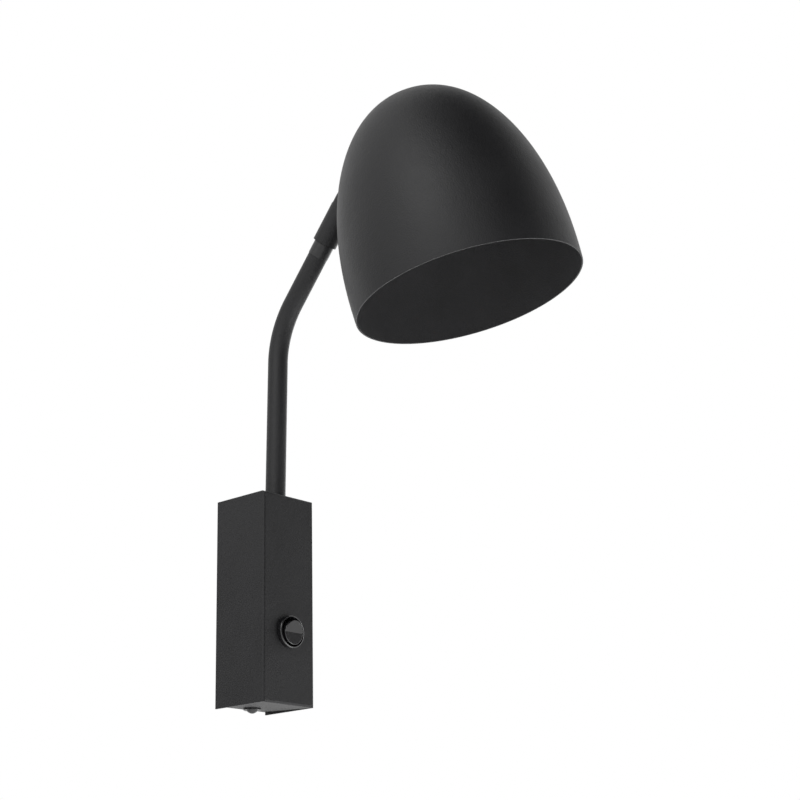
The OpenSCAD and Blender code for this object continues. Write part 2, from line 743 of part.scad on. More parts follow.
module grub(d, length) {
    difference() {
        cylinder(d = d, h = length);
        translate([0, 0, length - 1]) cylinder(d = 1.5 / cos(30), h = 1 + cut, $fn = 6);
    }
}

// The fork at the top of the sleeve, and the tilt axis
pivot_z = sleeve_top + pivot_l;
fork_base = 2.4;
fork_gap = 12;
ear_out = 5.4;
ear_in = 2.6;
screw_head_d = 6;
screw_head_t = 1.2;
module fork_place() { swivel_place() translate([0, 0, pivot_z]) children(); }
module both_sides() {
    for (side = [0, 1]) mirror([side, 0, 0]) rotate([0, 90, 0]) children();
}
module tilt_fork() {
    base_z = -pivot_l;
    color(coat) fork_place() difference() {
        union() {
            translate([0, 0, base_z - fork_plug]) cylinder(r = cavity_r - run, h = fork_plug);
            translate([0, 0, base_z]) cylinder(d = sleeve_d, h = fork_base);
            intersection() {
                translate([0, 0, base_z]) cylinder(d = sleeve_d, h = pivot_l + cheek_r);
                union() {
                    translate([-sleeve_d / 2, -cheek_r, base_z]) cube([sleeve_d, 2 * cheek_r, pivot_l]);
                    rotate([0, 90, 0]) cylinder(r = cheek_r, h = sleeve_d, center = true);
                }
            }
        }
        translate([-fork_gap / 2, -sleeve_d, base_z + fork_base])
            cube([fork_gap, 2 * sleeve_d, pivot_l + 2 * cheek_r]);
        translate([0, 0, base_z - fork_plug - cut]) cylinder(d = neck_bore + 2 * gap, h = fork_plug + pivot_l);
        rotate([0, 90, 0]) cylinder(d = pin_d + 2 * run, h = 2 * sleeve_d, center = true);
        both_sides() translate([0, 0, sleeve_d / 2 - screw_head_t])
            cylinder(d = screw_head_d + 2 * run, h = sleeve_d);
        translate([0, 0, fork_screw_z - pivot_z]) rotate([-90, 0, 0]) translate([0, 0, cavity_r - 2 - gap])
            cylinder(d = m3 + 2 * run, h = sleeve_d);
    }
}
module tilt_screws() {
    shaft = sleeve_d / 2 - screw_head_t - ear_in - play;
    color(black_plastic) fork_place() both_sides() difference() {
        union() {
            translate([0, 0, ear_in + play]) cylinder(d = pin_d, h = shaft);
            translate([0, 0, ear_in + play + shaft]) cylinder(d = screw_head_d, h = screw_head_t);
        }
        translate([0, 0, sleeve_d / 2]) cube([1, 8, 1.2], center = true);
    }
}
module tilt_washers() {
    color(white_plastic) fork_place() both_sides() translate([0, 0, ear_out + run])
        ring(cheek_r - gap, pin_d / 2 + 2 * run, fork_gap / 2 - ear_out - 2 * run);
}

// The dome: its outer radius at a height above the rim, and the slope of its wall there
function dome_r(h) = let(u = h / shade_h)
    shade_r * pow(1 - pow(u, dome_m), 1 / dome_k) + dome_belly * shade_r * u * (1 - u);
function dome_lean(h) = atan((dome_r(h - 0.5) - dome_r(h + 0.5)) / 1);
// A point of the outline, let in by a distance along its normal
dome_steps = 48;
function dome_point(i, inset) = let(a = 90 * i / dome_steps, h = shade_h * sin(a),
    beta = i == dome_steps ? 90 : dome_lean(min(h, shade_h - 0.6)))
    [max(0, (i == dome_steps ? 0 : dome_r(h)) - inset * cos(beta)), h - inset * sin(beta)];
function dome_line(inset, first, last) = [for (i = [first : last]) dome_point(i, inset)];
function reversed(v) = [for (i = [len(v) - 1 : -1 : 0]) v[i]];

module dome_solid(inset) {
    line = dome_line(inset, 1, dome_steps);
    rotate_extrude($fn = 128) polygon(concat([[0, -cut], [dome_point(0, inset).x, -cut]], line));
}

// The head, in a place whose origin is the centre of the rim and whose Z is the dome's axis
foot_r = dome_r(foot_h);
foot_tilt = dome_lean(foot_h);
module head_place() {
    fork_place() rotate([-tilt, 0, 0])
        translate([0, -foot_r - stand * cos(foot_tilt), -foot_h - stand * sin(foot_tilt)]) children();
}
module foot_place() { translate([0, foot_r, foot_h]) rotate([foot_tilt - 90, 0, 0]) children(); }
foot_len = 26;
foot_wid = 12;
foot_t = 2.5;
foot_screw_x = 8.5;
strap_t = 1.5;
bush_r = 3.4;
module at_foot_screws() { for (side = [-1, 1]) translate([side * foot_screw_x, 0, 0]) children(); }

module knuckle() {
    color(coat) head_place() difference() {
        foot_place() difference() {
            union() {
                intersection() {
                    translate([0, 0, -2]) cylinder(d = foot_len, h = foot_t + 2);
                    cube([foot_len, foot_wid, 4 * foot_t], center = true);
                }
                both_sides() translate([-stand, 0, ear_in]) cylinder(r = cheek_r, h = ear_out - ear_in);
                for (side = [0, 1]) mirror([side, 0, 0]) translate([ear_in, -cheek_r, 0])
                    cube([ear_out - ear_in, 2 * cheek_r, stand]);
            }
            translate([0, 0, stand]) rotate([0, 90, 0]) cylinder(d = pin_d + 2 * run, h = foot_len, center = true);
            translate([0, 0, -3 * cut]) cylinder(d = lead_d + 4 * gap, h = foot_t + 4 * cut);
            at_foot_screws() translate([0, 0, -3 * cut]) cylinder(d = m3 + 2 * run, h = foot_t + 6 * cut);
        }
        dome_solid(-gap);
    }
}
module knuckle_screws() {
    inside = shade_wall + strap_t + 2 * gap;
    color(zinc) head_place() foot_place() at_foot_screws() {
        sag = foot_screw_x * foot_screw_x / (2 * foot_r / cos(foot_tilt));
        translate([0, 0, -inside - sag - play]) cylinder(d = m3, h = inside + sag + play + foot_t - 0.4);
        translate([0, 0, -inside - sag - play - 1.8]) cylinder(d = 5.6, h = 1.8);
    }
}
module lead_bush() {
    inside = shade_wall + strap_t + 3 * gap;
    color(black_plastic) head_place() foot_place() translate([0, 0, -inside - 1.2]) difference() {
        union() {
            cylinder(r = bush_r + 1.6, h = 1.2);
            cylinder(r = bush_r, h = inside + 1.2 - gap);
        }
        translate([0, 0, -cut]) cylinder(d = lead_d + 2 * gap, h = inside + 4 * cut);
    }
}

// The spun shade, with a round edge at the rim
module shade() {
    outer = dome_line(0, 1, dome_steps);
    inner = dome_line(shade_wall, 1, dome_steps);
    edge = shade_wall / 2;
    color(coat) head_place() difference() {
        union() {
            rotate_extrude($fn = 128) polygon(concat([[shade_r, 0]], outer, reversed(inner),
                [[shade_r - shade_wall, 0]]));
            rotate_extrude($fn = 128) intersection() {
                translate([shade_r - edge, 0]) circle(edge, $fn = 32);
                translate([shade_r - shade_wall, -shade_wall]) square(shade_wall);
            }
        }
        foot_place() translate([0, 0, -4]) cylinder(r = bush_r + run, h = 6);
        foot_place() at_foot_screws() translate([0, 0, -4]) cylinder(d = m3 + 4 * gap, h = 6);
    }
}

// The strap that carries the lamp holder, bent to the inside of the dome
strap_w = 26;
strap_low = foot_h - 9;
plate_top = shade_h - plate_drop;
strap_in = shade_wall + gap;
pass_y = 26;
module holder_strap() {
    color(zinc) head_place() difference() {
        union() {
            intersection() {
                difference() {
                    dome_solid(strap_in);
                    dome_solid(strap_in + strap_t);
                }
                translate([-strap_w / 2, 0, strap_low]) cube([strap_w, shade_r, plate_top - strap_low]);
            }
            translate([0, 0, plate_top - strap_t]) intersection() {
                translate([-strap_w / 2, -strap_w / 2, 0]) cube([strap_w, shade_r, strap_t]);
                translate([0, 0, strap_t - plate_top]) dome_solid(strap_in + strap_t / 2);
                union() {
                    cylinder(d = strap_w, h = strap_t);
                    translate([-strap_w / 2, 0, 0]) cube([strap_w, shade_r, strap_t]);
                }
            }
        }
        translate([0, 0, plate_top - strap_t - cut]) cylinder(d = neck_d + 2 * gap, h = strap_t + 2 * cut);
        translate([0, pass_y, plate_top - strap_t - cut]) cylinder(d = lead_d + 2, h = strap_t + 2 * cut);
        foot_place() translate([0, 0, -6]) cylinder(r = bush_r + run, h = 8);
        foot_place() at_foot_screws() translate([0, 0, -6]) cylinder(d = m3 + 4 * gap, h = 8);
    }
}

// The lamp holder hangs under the plate on a threaded nipple
nipple_up = 8;
nipple_down = 9;
nipple_bore = 7;
cap_l = 18;
holder_low = plate_top - strap_t - holder_l;
cap_low = plate_top - strap_t - cap_l;
core_t = 7;
shell_z = holder_low + 1.5;
contact_rise = 2.5;
core_z = shell_z + shell_l + contact_rise + gap;
module holder_nipple() {
    color(zinc) head_place() translate([0, 0, plate_top - strap_t - nipple_down])
        ring(neck_d / 2, nipple_bore / 2, nipple_down + strap_t + nipple_up);
}
module holder_nut() {
    color(zinc) head_place() translate([0, 0, plate_top + gap]) difference() {
        cylinder(d = nut_af / cos(30), h = 3.4, $fn = 6);
        translate([0, 0, -cut]) cylinder(d = neck_d + 2 * run, h = 3.4 + 2 * cut);
    }
}
module holder_cap() {
    r = holder_d / 2;
    wall = 2;
    skirt_h = 5;
    crown_r = 6;
    color(black_plastic) head_place() translate([0, 0, cap_low]) rotate_extrude() difference() {
        union() {
            square([r, skirt_h]);
            translate([0, skirt_h]) square([r - crown_r, crown_r]);
            translate([r - crown_r, skirt_h]) intersection() {
                circle(crown_r);
                square(crown_r);
            }
            translate([0, skirt_h]) square([neck_d / 2 + 1.5 * wall, cap_l - skirt_h - gap]);
        }
        translate([0, -cut]) square([neck_d / 2 + run, cap_l + 2 * cut]);
        translate([0, -cut]) square([r - 3 * wall, skirt_h + wall + cut]);
        translate([0, -cut]) square([r - wall, skirt_h - gap + cut]);
    }
}
module holder_body() {
    r = holder_d / 2;
    color(black_plastic) head_place() translate([0, 0, holder_low]) rotate_extrude() difference() {
        union() {
            translate([0, 2]) square([r, cap_low - holder_low - 2 - gap]);
            translate([0, 0]) square([r - 2, 3]);
            translate([r - 2, 2]) circle(2);
        }
        translate([-cut, -2 * cut]) square([shell_d / 2 + 0.6 + run + cut, holder_l]);
        translate([-cut, core_z - holder_low - run]) square([r - 2 + cut, holder_l]);
    }
}
module holder_core() {
    color(white_plastic) head_place() translate([0, 0, core_z]) difference() {
        cylinder(r = holder_d / 2 - 2 - gap, h = core_t);
        for (a = [0, 180]) rotate(a) translate([terminal_x, 0, -cut])
            cylinder(d = m3 + 2 * run, h = core_t + 2 * cut);
    }
}
module threaded_shell() {
    color(brass) head_place() translate([0, 0, shell_z]) ring(shell_d / 2 + 0.6, shell_d / 2, shell_l);
}
module centre_contact() {
    strip_w = 6;
    strip_l = 13;
    color(brass) head_place() translate([0, 0, core_z]) {
        translate([-strip_w / 2, -strip_l + strip_w / 2, -gap - strip_t]) cube([strip_w, strip_l, strip_t]);
        translate([0, 0, -contact_rise]) cylinder(d = strip_w - 1, h = contact_rise - gap - strip_t / 2);
    }
}
strip_t = 0.6;
terminal_x = 9;
terminal_head_d = 5.4;
terminal_head_t = 2;
module holder_terminals() {
    color(zinc) head_place() for (a = [0, 180]) rotate(a) translate([terminal_x, 0, core_z]) {
        translate([0, 0, 1]) cylinder(d = m3, h = core_t + core_d + gap);
        translate([0, 0, core_t + core_d + 2 * gap]) cylinder(d = terminal_head_d, h = terminal_head_t);
    }
}
lead_low = plate_top - strap_t - nipple_down - gap;
module holder_cores() {
    x = terminal_x - m3 / 2 - core_d / 2 - gap;
    z = core_z + core_t + gap + core_d / 2;
    color("#6d6f73") head_place() for (a = [0, 180]) rotate(a) wire([[core_spread, 0, lead_low - gap],
        [core_spread + 0.2, -0.4, lead_low - 2], [3.5, -5, z + 2.6], [x, -5.5, z + 0.3], [x, -3, z], [x, 2, z]],
        core_d);
}

// The lead inside the shade, from the knuckle to the lower end of the nipple
function foot_point(z) = [0, foot_r + z * cos(foot_tilt), foot_h + z * sin(foot_tilt)];
module head_lead() {
    over = plate_top + nipple_up + lead_d / 2 + 3;
    color("#303032") head_place() wire([foot_point(foot_t - 1), foot_point(-5), foot_point(-10),
        [0, 44, foot_h - 4], [0, 33, foot_h + 2], [0, pass_y, plate_top - 14], [0, pass_y, plate_top - 4],
        [0, pass_y, over - 8], [0, pass_y - 2, over - 2], [0, pass_y - 8, over + 0.5], [0, 8, over + 0.5],
        [0, 1.5, over - 1.5], [0, 0, over - 6], [0, 0, plate_top], [0, 0, lead_low]], lead_d);
}

housing();
fixing_screw();
wall_bracket();
press_nut();
cable_bush();
terminal_block();
terminal_clamps();
terminal_screws();
block_screw();
earth_screw();
earth_washer();
earth_tag();
earth_lead();
feed_lead();
switch_body();
switch_rocker();
rocker_plunger();
switch_contact();
switch_terminals();
spade_sleeves();
arm_tube();
arm_foot();
backing_plate();
lock_washer();
arm_nut();
foot_bush();
arm_lead();
arm_cores();
swivel_spindle();
friction_washer();
head_sleeve();
wave_washer();
swivel_nut();
stop_screw();
tilt_fork();
fork_screw();
tilt_screws();
tilt_washers();
knuckle();
knuckle_screws();
lead_bush();
shade();
holder_strap();
holder_nipple();
holder_nut();
holder_cap();
holder_body();
holder_core();
threaded_shell();
centre_contact();
holder_terminals();
holder_cores();
head_lead();
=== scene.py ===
# %% [markdown]
# # A wall lamp in matt black
# A wall lamp has three things to look at: a slim folded box on the wall, a bent tube, and a dome
# shade that hangs from a small swivel behind it. The CAD frame brings every solid at its true
# size, inside and out. This lesson gives the parts that show a finer mesh and a real finish, and
# leaves what is hidden inside as the solids that it is.

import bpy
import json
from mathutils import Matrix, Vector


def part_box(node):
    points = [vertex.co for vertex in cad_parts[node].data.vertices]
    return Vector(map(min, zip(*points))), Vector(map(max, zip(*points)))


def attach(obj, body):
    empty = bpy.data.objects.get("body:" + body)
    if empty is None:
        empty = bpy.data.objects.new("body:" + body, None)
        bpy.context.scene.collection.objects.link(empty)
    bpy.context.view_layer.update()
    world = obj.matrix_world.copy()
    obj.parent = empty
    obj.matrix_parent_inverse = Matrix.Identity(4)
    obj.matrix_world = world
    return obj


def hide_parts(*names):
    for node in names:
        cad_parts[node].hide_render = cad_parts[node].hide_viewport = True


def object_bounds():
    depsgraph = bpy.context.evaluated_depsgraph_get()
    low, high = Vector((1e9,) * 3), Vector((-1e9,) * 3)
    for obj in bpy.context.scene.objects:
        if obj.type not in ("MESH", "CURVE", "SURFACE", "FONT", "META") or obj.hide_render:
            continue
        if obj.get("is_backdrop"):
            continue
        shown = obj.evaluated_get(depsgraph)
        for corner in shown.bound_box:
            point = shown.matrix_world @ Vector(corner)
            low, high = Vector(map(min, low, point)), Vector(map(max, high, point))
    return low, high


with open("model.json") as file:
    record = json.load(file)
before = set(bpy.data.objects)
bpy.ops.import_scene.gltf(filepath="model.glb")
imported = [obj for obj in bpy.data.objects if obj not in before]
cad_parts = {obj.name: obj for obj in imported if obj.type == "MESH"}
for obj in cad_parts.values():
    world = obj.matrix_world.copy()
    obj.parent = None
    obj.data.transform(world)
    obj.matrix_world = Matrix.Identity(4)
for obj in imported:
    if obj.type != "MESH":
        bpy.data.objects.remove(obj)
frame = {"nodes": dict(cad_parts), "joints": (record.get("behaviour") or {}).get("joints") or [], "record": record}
cad_low, cad_high = (list(corner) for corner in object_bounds())

# %% Tools and units
import json
import math

import bmesh
import bpy
from mathutils import Matrix, Vector

MM = 0.001
scene = bpy.context.scene
joints = {joint["name"]: joint for joint in frame["joints"]}

# %% [markdown]
# ## Where the pieces sit
# The frame already says where each piece is. Boxes of the nodes give the places on the housing,
# and the joints give the two axes of the head: the swivel turns about the upper arm, and the
# tilt axis crosses it behind the shade. From them come three local places, each a matrix, so that
# a piece can be modelled round its own Z axis and then be set down where it belongs.

# %% The places
def place(origin, z_axis, x_hint):
    """A matrix whose Z runs along z_axis and whose X is as near to x_hint as it can be."""
    z = Vector(z_axis).normalized()
    x = (Vector(x_hint) - z * z.dot(Vector(x_hint))).normalized()
    turned = Matrix((x, z.cross(x), z)).transposed().to_4x4()
    return Matrix.Translation(Vector(origin)) @ turned


ACROSS = Vector((1, 0, 0))
turn_axis = Vector(joints["head_turn"]["axis"]).normalized()
tilt_axis = Vector(joints["head_tilt"]["axis"]).normalized()
pivot = Vector(joints["head_tilt"]["pos_m"])

tube_r = 7.4 * MM
stem_lean = math.radians(1.4)
stem_y = -35 * MM
knee_h = 130 * MM
bend_r = 70 * MM
tube_end = 65 * MM
pivot_reach = 112 * MM

top_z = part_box("housing")[1].z
stem = place((0, stem_y, top_z), (0, -math.sin(stem_lean), math.cos(stem_lean)), ACROSS)
knee = pivot - turn_axis * pivot_reach
reach = place(knee, turn_axis, ACROSS)
swivel = place(knee, turn_axis, tilt_axis)
print("knee at", [round(v, 4) for v in knee], "pivot at", [round(v, 4) for v in pivot])

# %% [markdown]
# The shade hangs beside the tilt axis. Its own axis leans 51.5 degrees from the upper arm, and the
# knuckle holds its wall 9 mm off the pivot. The dome's outline is one formula, a squared-off
# ellipse with a little extra fullness near its rim, so the same function gives its radius, the
# slope of its wall and the place of the knuckle.

# %% The shade's own place
shade_r = 83 * MM
shade_h = 160 * MM
shade_wall = 1 * MM
shade_tilt = math.radians(51.5)
stand = 9 * MM
foot_h = 108 * MM
dome_m, dome_k, dome_belly = 2.12, 2.3, 0.107


def dome_radius(height):
    """Outer radius of the dome at a height above its rim."""
    u = height / shade_h
    return shade_r * ((1 - u ** dome_m) ** (1 / dome_k) + dome_belly * u * (1 - u))


def dome_slope(height):
    """How far the wall leans in at that height, in radians from its axis."""
    step = 0.5 * MM
    return math.atan((dome_radius(height - step) - dome_radius(height + step)) / (2 * step))


behind = turn_axis.cross(tilt_axis)
head_y = behind * math.cos(shade_tilt) - turn_axis * math.sin(shade_tilt)
head_z = behind * math.sin(shade_tilt) + turn_axis * math.cos(shade_tilt)
foot_slope = dome_slope(foot_h)
rim_centre = (pivot - head_y * (dome_radius(foot_h) + stand * math.cos(foot_slope))
              - head_z * (foot_h + stand * math.sin(foot_slope)))
head = place(rim_centre, head_z, tilt_axis)
print("rim centre at", [round(v, 4) for v in rim_centre])

# %% [markdown]
# ## Shared helpers
# Every piece ends the same way: its doubles are merged, its faces point outwards, it is smooth
# except at real edges, and it rides on a body and stands for the solids that it replaces. One
# helper does that, so each piece below is only its shape. A bevel modifier rounds what the tool
# or the press left sharp, because an edge without any radius catches no light.

# %% Cut a shape out of a piece
def cut_away(piece, cutter_bm):
    """Takes a cutter's shape out of a piece and keeps the result as the piece's own mesh."""
    mesh = bpy.data.meshes.new("cutter")
    bmesh.ops.recalc_face_normals(cutter_bm, faces=cutter_bm.faces)
    cutter_bm.to_mesh(mesh)
    cutter_bm.free()
    cutter = bpy.data.objects.new("cutter", mesh)
    scene.collection.objects.link(cutter)
    cut = piece.modifiers.new("cut", "BOOLEAN")
    cut.operation, cut.solver, cut.object = "DIFFERENCE", "EXACT", cutter
    evaluated = piece.evaluated_get(bpy.context.evaluated_depsgraph_get())
    result, whole = bpy.data.meshes.new_from_object(evaluated), piece.data
    piece.modifiers.remove(cut)
    piece.data = result
    bpy.data.objects.remove(cutter)
    bpy.data.meshes.remove(mesh)
    bpy.data.meshes.remove(whole)
    result.name = piece.name


# %% Finish a piece
WELD = 0.002 * MM


def finish_piece(name, bm, body, material, stands_for, edge=0.0, segments=3, sharp=35,
                 cutter=None, flat_from=None):
    """Makes the mesh an object at the origin that rides on a body and stands for CAD nodes."""
    bmesh.ops.remove_doubles(bm, verts=bm.verts, dist=WELD)
    bmesh.ops.recalc_face_normals(bm, faces=bm.faces)
    mesh = bpy.data.meshes.new(name)
    bm.to_mesh(mesh)
    bm.free()
    piece = bpy.data.objects.new(name, mesh)
    scene.collection.objects.link(piece)
    if cutter:
        cut_away(piece, cutter)
    mesh = piece.data
    mesh.shade_smooth()
    mesh.set_sharp_from_angle(angle=math.radians(sharp))
    for face in mesh.polygons:
        if flat_from and face.area > flat_from:
            face.use_smooth = False
    mesh.materials.append(material)
    if edge:
        soft = piece.modifiers.new("soft_edges", "BEVEL")
        soft.width, soft.segments, soft.limit_method = edge, segments, "ANGLE"
        soft.angle_limit = math.radians(sharp)
        soft.harden_normals = True
    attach(piece, body)
    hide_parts(*stands_for)
    print(f"{name}: {len(mesh.polygons)} faces, stands for {', '.join(stands_for)}")
    return piece


# %% Turn a profile
def turned(bm, outline, where, steps=96):
    """Spins an open or closed outline of (radius, height) points round the Z axis of a place."""
    points = [bm.verts.new((r, 0, h)) for r, h in outline]
    edges = [bm.edges.new(pair) for pair in zip(points, points[1:])]
    bmesh.ops.spin(bm, geom=points + edges, cent=(0, 0, 0), axis=(0, 0, 1), dvec=(0, 0, 0),
                   angle=2 * math.pi, steps=steps, use_merge=True, use_duplicate=False)
    bmesh.ops.transform(bm, matrix=where, verts=bm.verts)


# %% Add a box or a rod
def add_box(bm, low, high, where=Matrix()):
    """A box between two corners of a place."""
    low, high = Vector(low), Vector(high)
    made = bmesh.ops.create_cube(bm, size=1)
    bmesh.ops.transform(bm, verts=made["verts"], matrix=where
                        @ Matrix.Translation((low + high) / 2)
                        @ Matrix.Diagonal((*(high - low), 1)))


def add_rod(bm, radius, low, high, where, sides=48):
    """A closed rod along the Z axis of a place."""
    made = bmesh.ops.create_cone(bm, cap_ends=True, segments=sides, radius1=radius, radius2=radius,
                                 depth=high - low)
    bmesh.ops.transform(bm, verts=made["verts"],
                        matrix=where @ Matrix.Translation((0, 0, (low + high) / 2)))


# %% [markdown]
# ## Surface effects
# Powder coat is not a flat black. The powder melts into tiny rounded grains, up to a millimetre
# across, on top of a slow waviness, and it holds a faint uneven sheen where it is thicker or has
# been touched. Those are effects of scale, so they are node groups with named
# sockets: each material places them with its own values, and the shader itself stays outside.

# %% The grain group
def add_socket(group, name, way, kind, default=None):
    """A named input or output of a node group."""
    socket = group.interface.new_socket(name=name, in_out=way, socket_type=kind)
    if default is not None:
        socket.default_value = default


def build_grain():
    """Fine rounded grains over a slow wave, as a height."""
    group = bpy.data.node_groups.new("coat_grain", "ShaderNodeTree")
    add_socket(group, "Grain per mm", "INPUT", "NodeSocketFloat", 3.0)
    add_socket(group, "Wave per mm", "INPUT", "NodeSocketFloat", 0.25)
    add_socket(group, "Height", "OUTPUT", "NodeSocketFloat")
    add_socket(group, "Speckle", "OUTPUT", "NodeSocketFloat")
    n, link = group.nodes, group.links.new
    enter, leave = n.new("NodeGroupInput"), n.new("NodeGroupOutput")
    where = n.new("ShaderNodeTexCoord")
    in_mm = n.new("ShaderNodeVectorMath")
    in_mm.operation = "SCALE"
    in_mm.inputs["Scale"].default_value = 1 / MM
    link(where.outputs["Object"], in_mm.inputs[0])
    grains = n.new("ShaderNodeTexNoise")
    grains.inputs["Detail"].default_value = 1.0
    grains.inputs["Roughness"].default_value = 0.55
    wave = n.new("ShaderNodeTexNoise")
    wave.inputs["Detail"].default_value = 1.0
    for noise, socket in ((grains, "Grain per mm"), (wave, "Wave per mm")):
        link(in_mm.outputs[0], noise.inputs["Vector"])
        link(enter.outputs[socket], noise.inputs["Scale"])
    wave_share = 0.6
    both = n.new("ShaderNodeMath")
    both.operation = "MULTIPLY_ADD"
    both.inputs[1].default_value = wave_share
    link(wave.outputs["Fac"], both.inputs[0])
    link(grains.outputs["Fac"], both.inputs[2])
    link(both.outputs[0], leave.inputs["Height"])
    link(grains.outputs["Fac"], leave.inputs["Speckle"])
    return group


# %% The uneven sheen group
def build_patina():
    """Slow patches that shift a colour and a roughness a little, as handling and dust do."""
    group = bpy.data.node_groups.new("uneven_sheen", "ShaderNodeTree")
    add_socket(group, "Color", "INPUT", "NodeSocketColor", (0.5, 0.5, 0.5, 1))
    add_socket(group, "Roughness", "INPUT", "NodeSocketFloat", 0.5)
    add_socket(group, "Patch per mm", "INPUT", "NodeSocketFloat", 0.03)
    add_socket(group, "Speckle", "INPUT", "NodeSocketFloat", 0.5)
    add_socket(group, "Color spread", "INPUT", "NodeSocketFloat", 0.1)
    add_socket(group, "Roughness spread", "INPUT", "NodeSocketFloat", 0.06)
    add_socket(group, "Color", "OUTPUT", "NodeSocketColor")
    add_socket(group, "Roughness", "OUTPUT", "NodeSocketFloat")
    n, link = group.nodes, group.links.new
    enter, leave = n.new("NodeGroupInput"), n.new("NodeGroupOutput")
    where = n.new("ShaderNodeTexCoord")
    in_mm = n.new("ShaderNodeVectorMath")
    in_mm.operation = "SCALE"
    in_mm.inputs["Scale"].default_value = 1 / MM
    patches = n.new("ShaderNodeTexNoise")
    patches.inputs["Detail"].default_value = 3.0
    link(where.outputs["Object"], in_mm.inputs[0])
    link(in_mm.outputs[0], patches.inputs["Vector"])
    link(enter.outputs["Patch per mm"], patches.inputs["Scale"])
    mixed = n.new("ShaderNodeMath")
    mixed.operation = "ADD"
    link(patches.outputs["Fac"], mixed.inputs[0])
    link(enter.outputs["Speckle"], mixed.inputs[1])
    middle_of_sum = 1.0
    centred = n.new("ShaderNodeMath")
    centred.operation = "SUBTRACT"
    centred.inputs[1].default_value = middle_of_sum
    link(mixed.outputs[0], centred.inputs[0])
    lighten = n.new("ShaderNodeMath")
    lighten.operation = "MULTIPLY_ADD"
    lighten.inputs[2].default_value = 1.0
    link(centred.outputs[0], lighten.inputs[0])
    link(enter.outputs["Color spread"], lighten.inputs[1])
    tint = n.new("ShaderNodeVectorMath")
    tint.operation = "SCALE"
    link(enter.outputs["Color"], tint.inputs[0])
    link(lighten.outputs[0], tint.inputs["Scale"])
    rough = n.new("ShaderNodeMath")
    rough.operation = "MULTIPLY_ADD"
    link(centred.outputs[0], rough.inputs[0])
    link(enter.outputs["Roughness spread"], rough.inputs[1])
    link(enter.outputs["Roughness"], rough.inputs[2])
    link(tint.outputs[0], leave.inputs["Color"])
    link(rough.outputs[0], leave.inputs["Roughness"])
    return group


coat_grain = build_grain()
uneven_sheen = build_patina()
print("effects:", coat_grain.name, "and", uneven_sheen.name)

# %% [markdown]
# ## Finishes
# One recipe covers every finish here, because they differ only in numbers: a colour, a roughness,
# whether the surface is metal, how coarse its grain is and how deep. What varies over the surface
# comes from the groups, and what is the same all over is set on the shader's own socket, where the
# export can read it. The shade's inner wall is painted lighter than its outside. That is painted light,
# standing in for the light on the inside of the shade, on one and the same coat. A number that each
# face of the shade carries tells its material which side it is on.

# %% The recipe
INNER_SIDE = "inner_side"


def finish(name, color, roughness, metallic=0.0, grain=3.0, depth=0.01, wave=0.25, spread=0.15,
           rough_spread=0.08, patch=0.03, specular=0.5, coat=0.0, painted_light_inner=None):
    """A material with grain and an uneven sheen. Grain and wave are per millimetre, depth in mm."""
    material = bpy.data.materials.new(name)
    material.use_nodes = True
    n, link = material.node_tree.nodes, material.node_tree.links.new
    shader = n["Principled BSDF"]
    shader.inputs["Metallic"].default_value = metallic
    shader.inputs["Specular IOR Level"].default_value = specular
    shader.inputs["Coat Weight"].default_value = coat
    texture = n.new("ShaderNodeGroup")
    texture.node_tree = coat_grain
    texture.inputs["Grain per mm"].default_value = grain
    texture.inputs["Wave per mm"].default_value = wave
    sheen = n.new("ShaderNodeGroup")
    sheen.node_tree = uneven_sheen
    sheen.inputs["Color"].default_value = (*color, 1)
    sheen.inputs["Roughness"].default_value = roughness
    sheen.inputs["Patch per mm"].default_value = patch
    sheen.inputs["Color spread"].default_value = spread
    sheen.inputs["Roughness spread"].default_value = rough_spread
    # Painted light: inner faces get a lighter colour that stands in for light reaching the inside of the shade.
    if painted_light_inner:
        side, outer_or_painted_light = n.new("ShaderNodeAttribute"), n.new("ShaderNodeMix")
        side.attribute_name, outer_or_painted_light.data_type = INNER_SIDE, "RGBA"
        link(side.outputs["Fac"], outer_or_painted_light.inputs["Factor"])
        outer_or_painted_light.inputs["A"].default_value = (*color, 1)
        outer_or_painted_light.inputs["B"].default_value = (*painted_light_inner, 1)
        link(outer_or_painted_light.outputs["Result"], sheen.inputs["Color"])
    link(texture.outputs["Speckle"], sheen.inputs["Speckle"])
    link(sheen.outputs["Color"], shader.inputs["Base Color"])
    link(sheen.outputs["Roughness"], shader.inputs["Roughness"])
    bump = n.new("ShaderNodeBump")
    bump.inputs["Distance"].default_value = depth * MM
    link(texture.outputs["Height"], bump.inputs["Height"])
    link(bump.outputs["Normal"], shader.inputs["Normal"])
    return material


# %% The finishes of this lamp
coat = dict(color=(0.0135, 0.0135, 0.0145), roughness=0.5, grain=1.0, depth=0.2, wave=0.2,
            rough_spread=0.14, specular=0.32)
powder_coat = finish("powder_coat", **coat, spread=0.9)
# The shade's lighter inner colour is painted light on its inner wall, not a second coat.
shade_coat_painted_inside = finish("shade_coat_painted_inside", **coat, spread=0.3, painted_light_inner=(0.058, 0.058, 0.06))
collar_black = finish("collar_black", (0.012, 0.012, 0.013), 0.42, grain=5, depth=0.004)
screw_black = finish("screw_black", (0.014, 0.014, 0.015), 0.32, grain=4, depth=0.008)
switch_gloss = finish("switch_gloss", (0.008, 0.008, 0.009), 0.14, grain=1.5, depth=0.002,
                      rough_spread=0.04, coat=0.5)
holder_plastic = finish("holder_plastic", (0.016, 0.016, 0.017), 0.38, grain=3, depth=0.01)
zinc_plate = finish("zinc_plate", (0.56, 0.57, 0.6), 0.34, metallic=1, grain=2, depth=0.006,
                    spread=0.25, rough_spread=0.2, patch=0.15)
brass_plain = finish("brass_plain", (0.66, 0.46, 0.18), 0.3, metallic=1, grain=3, depth=0.004,
                     spread=0.2, rough_spread=0.15, patch=0.1)
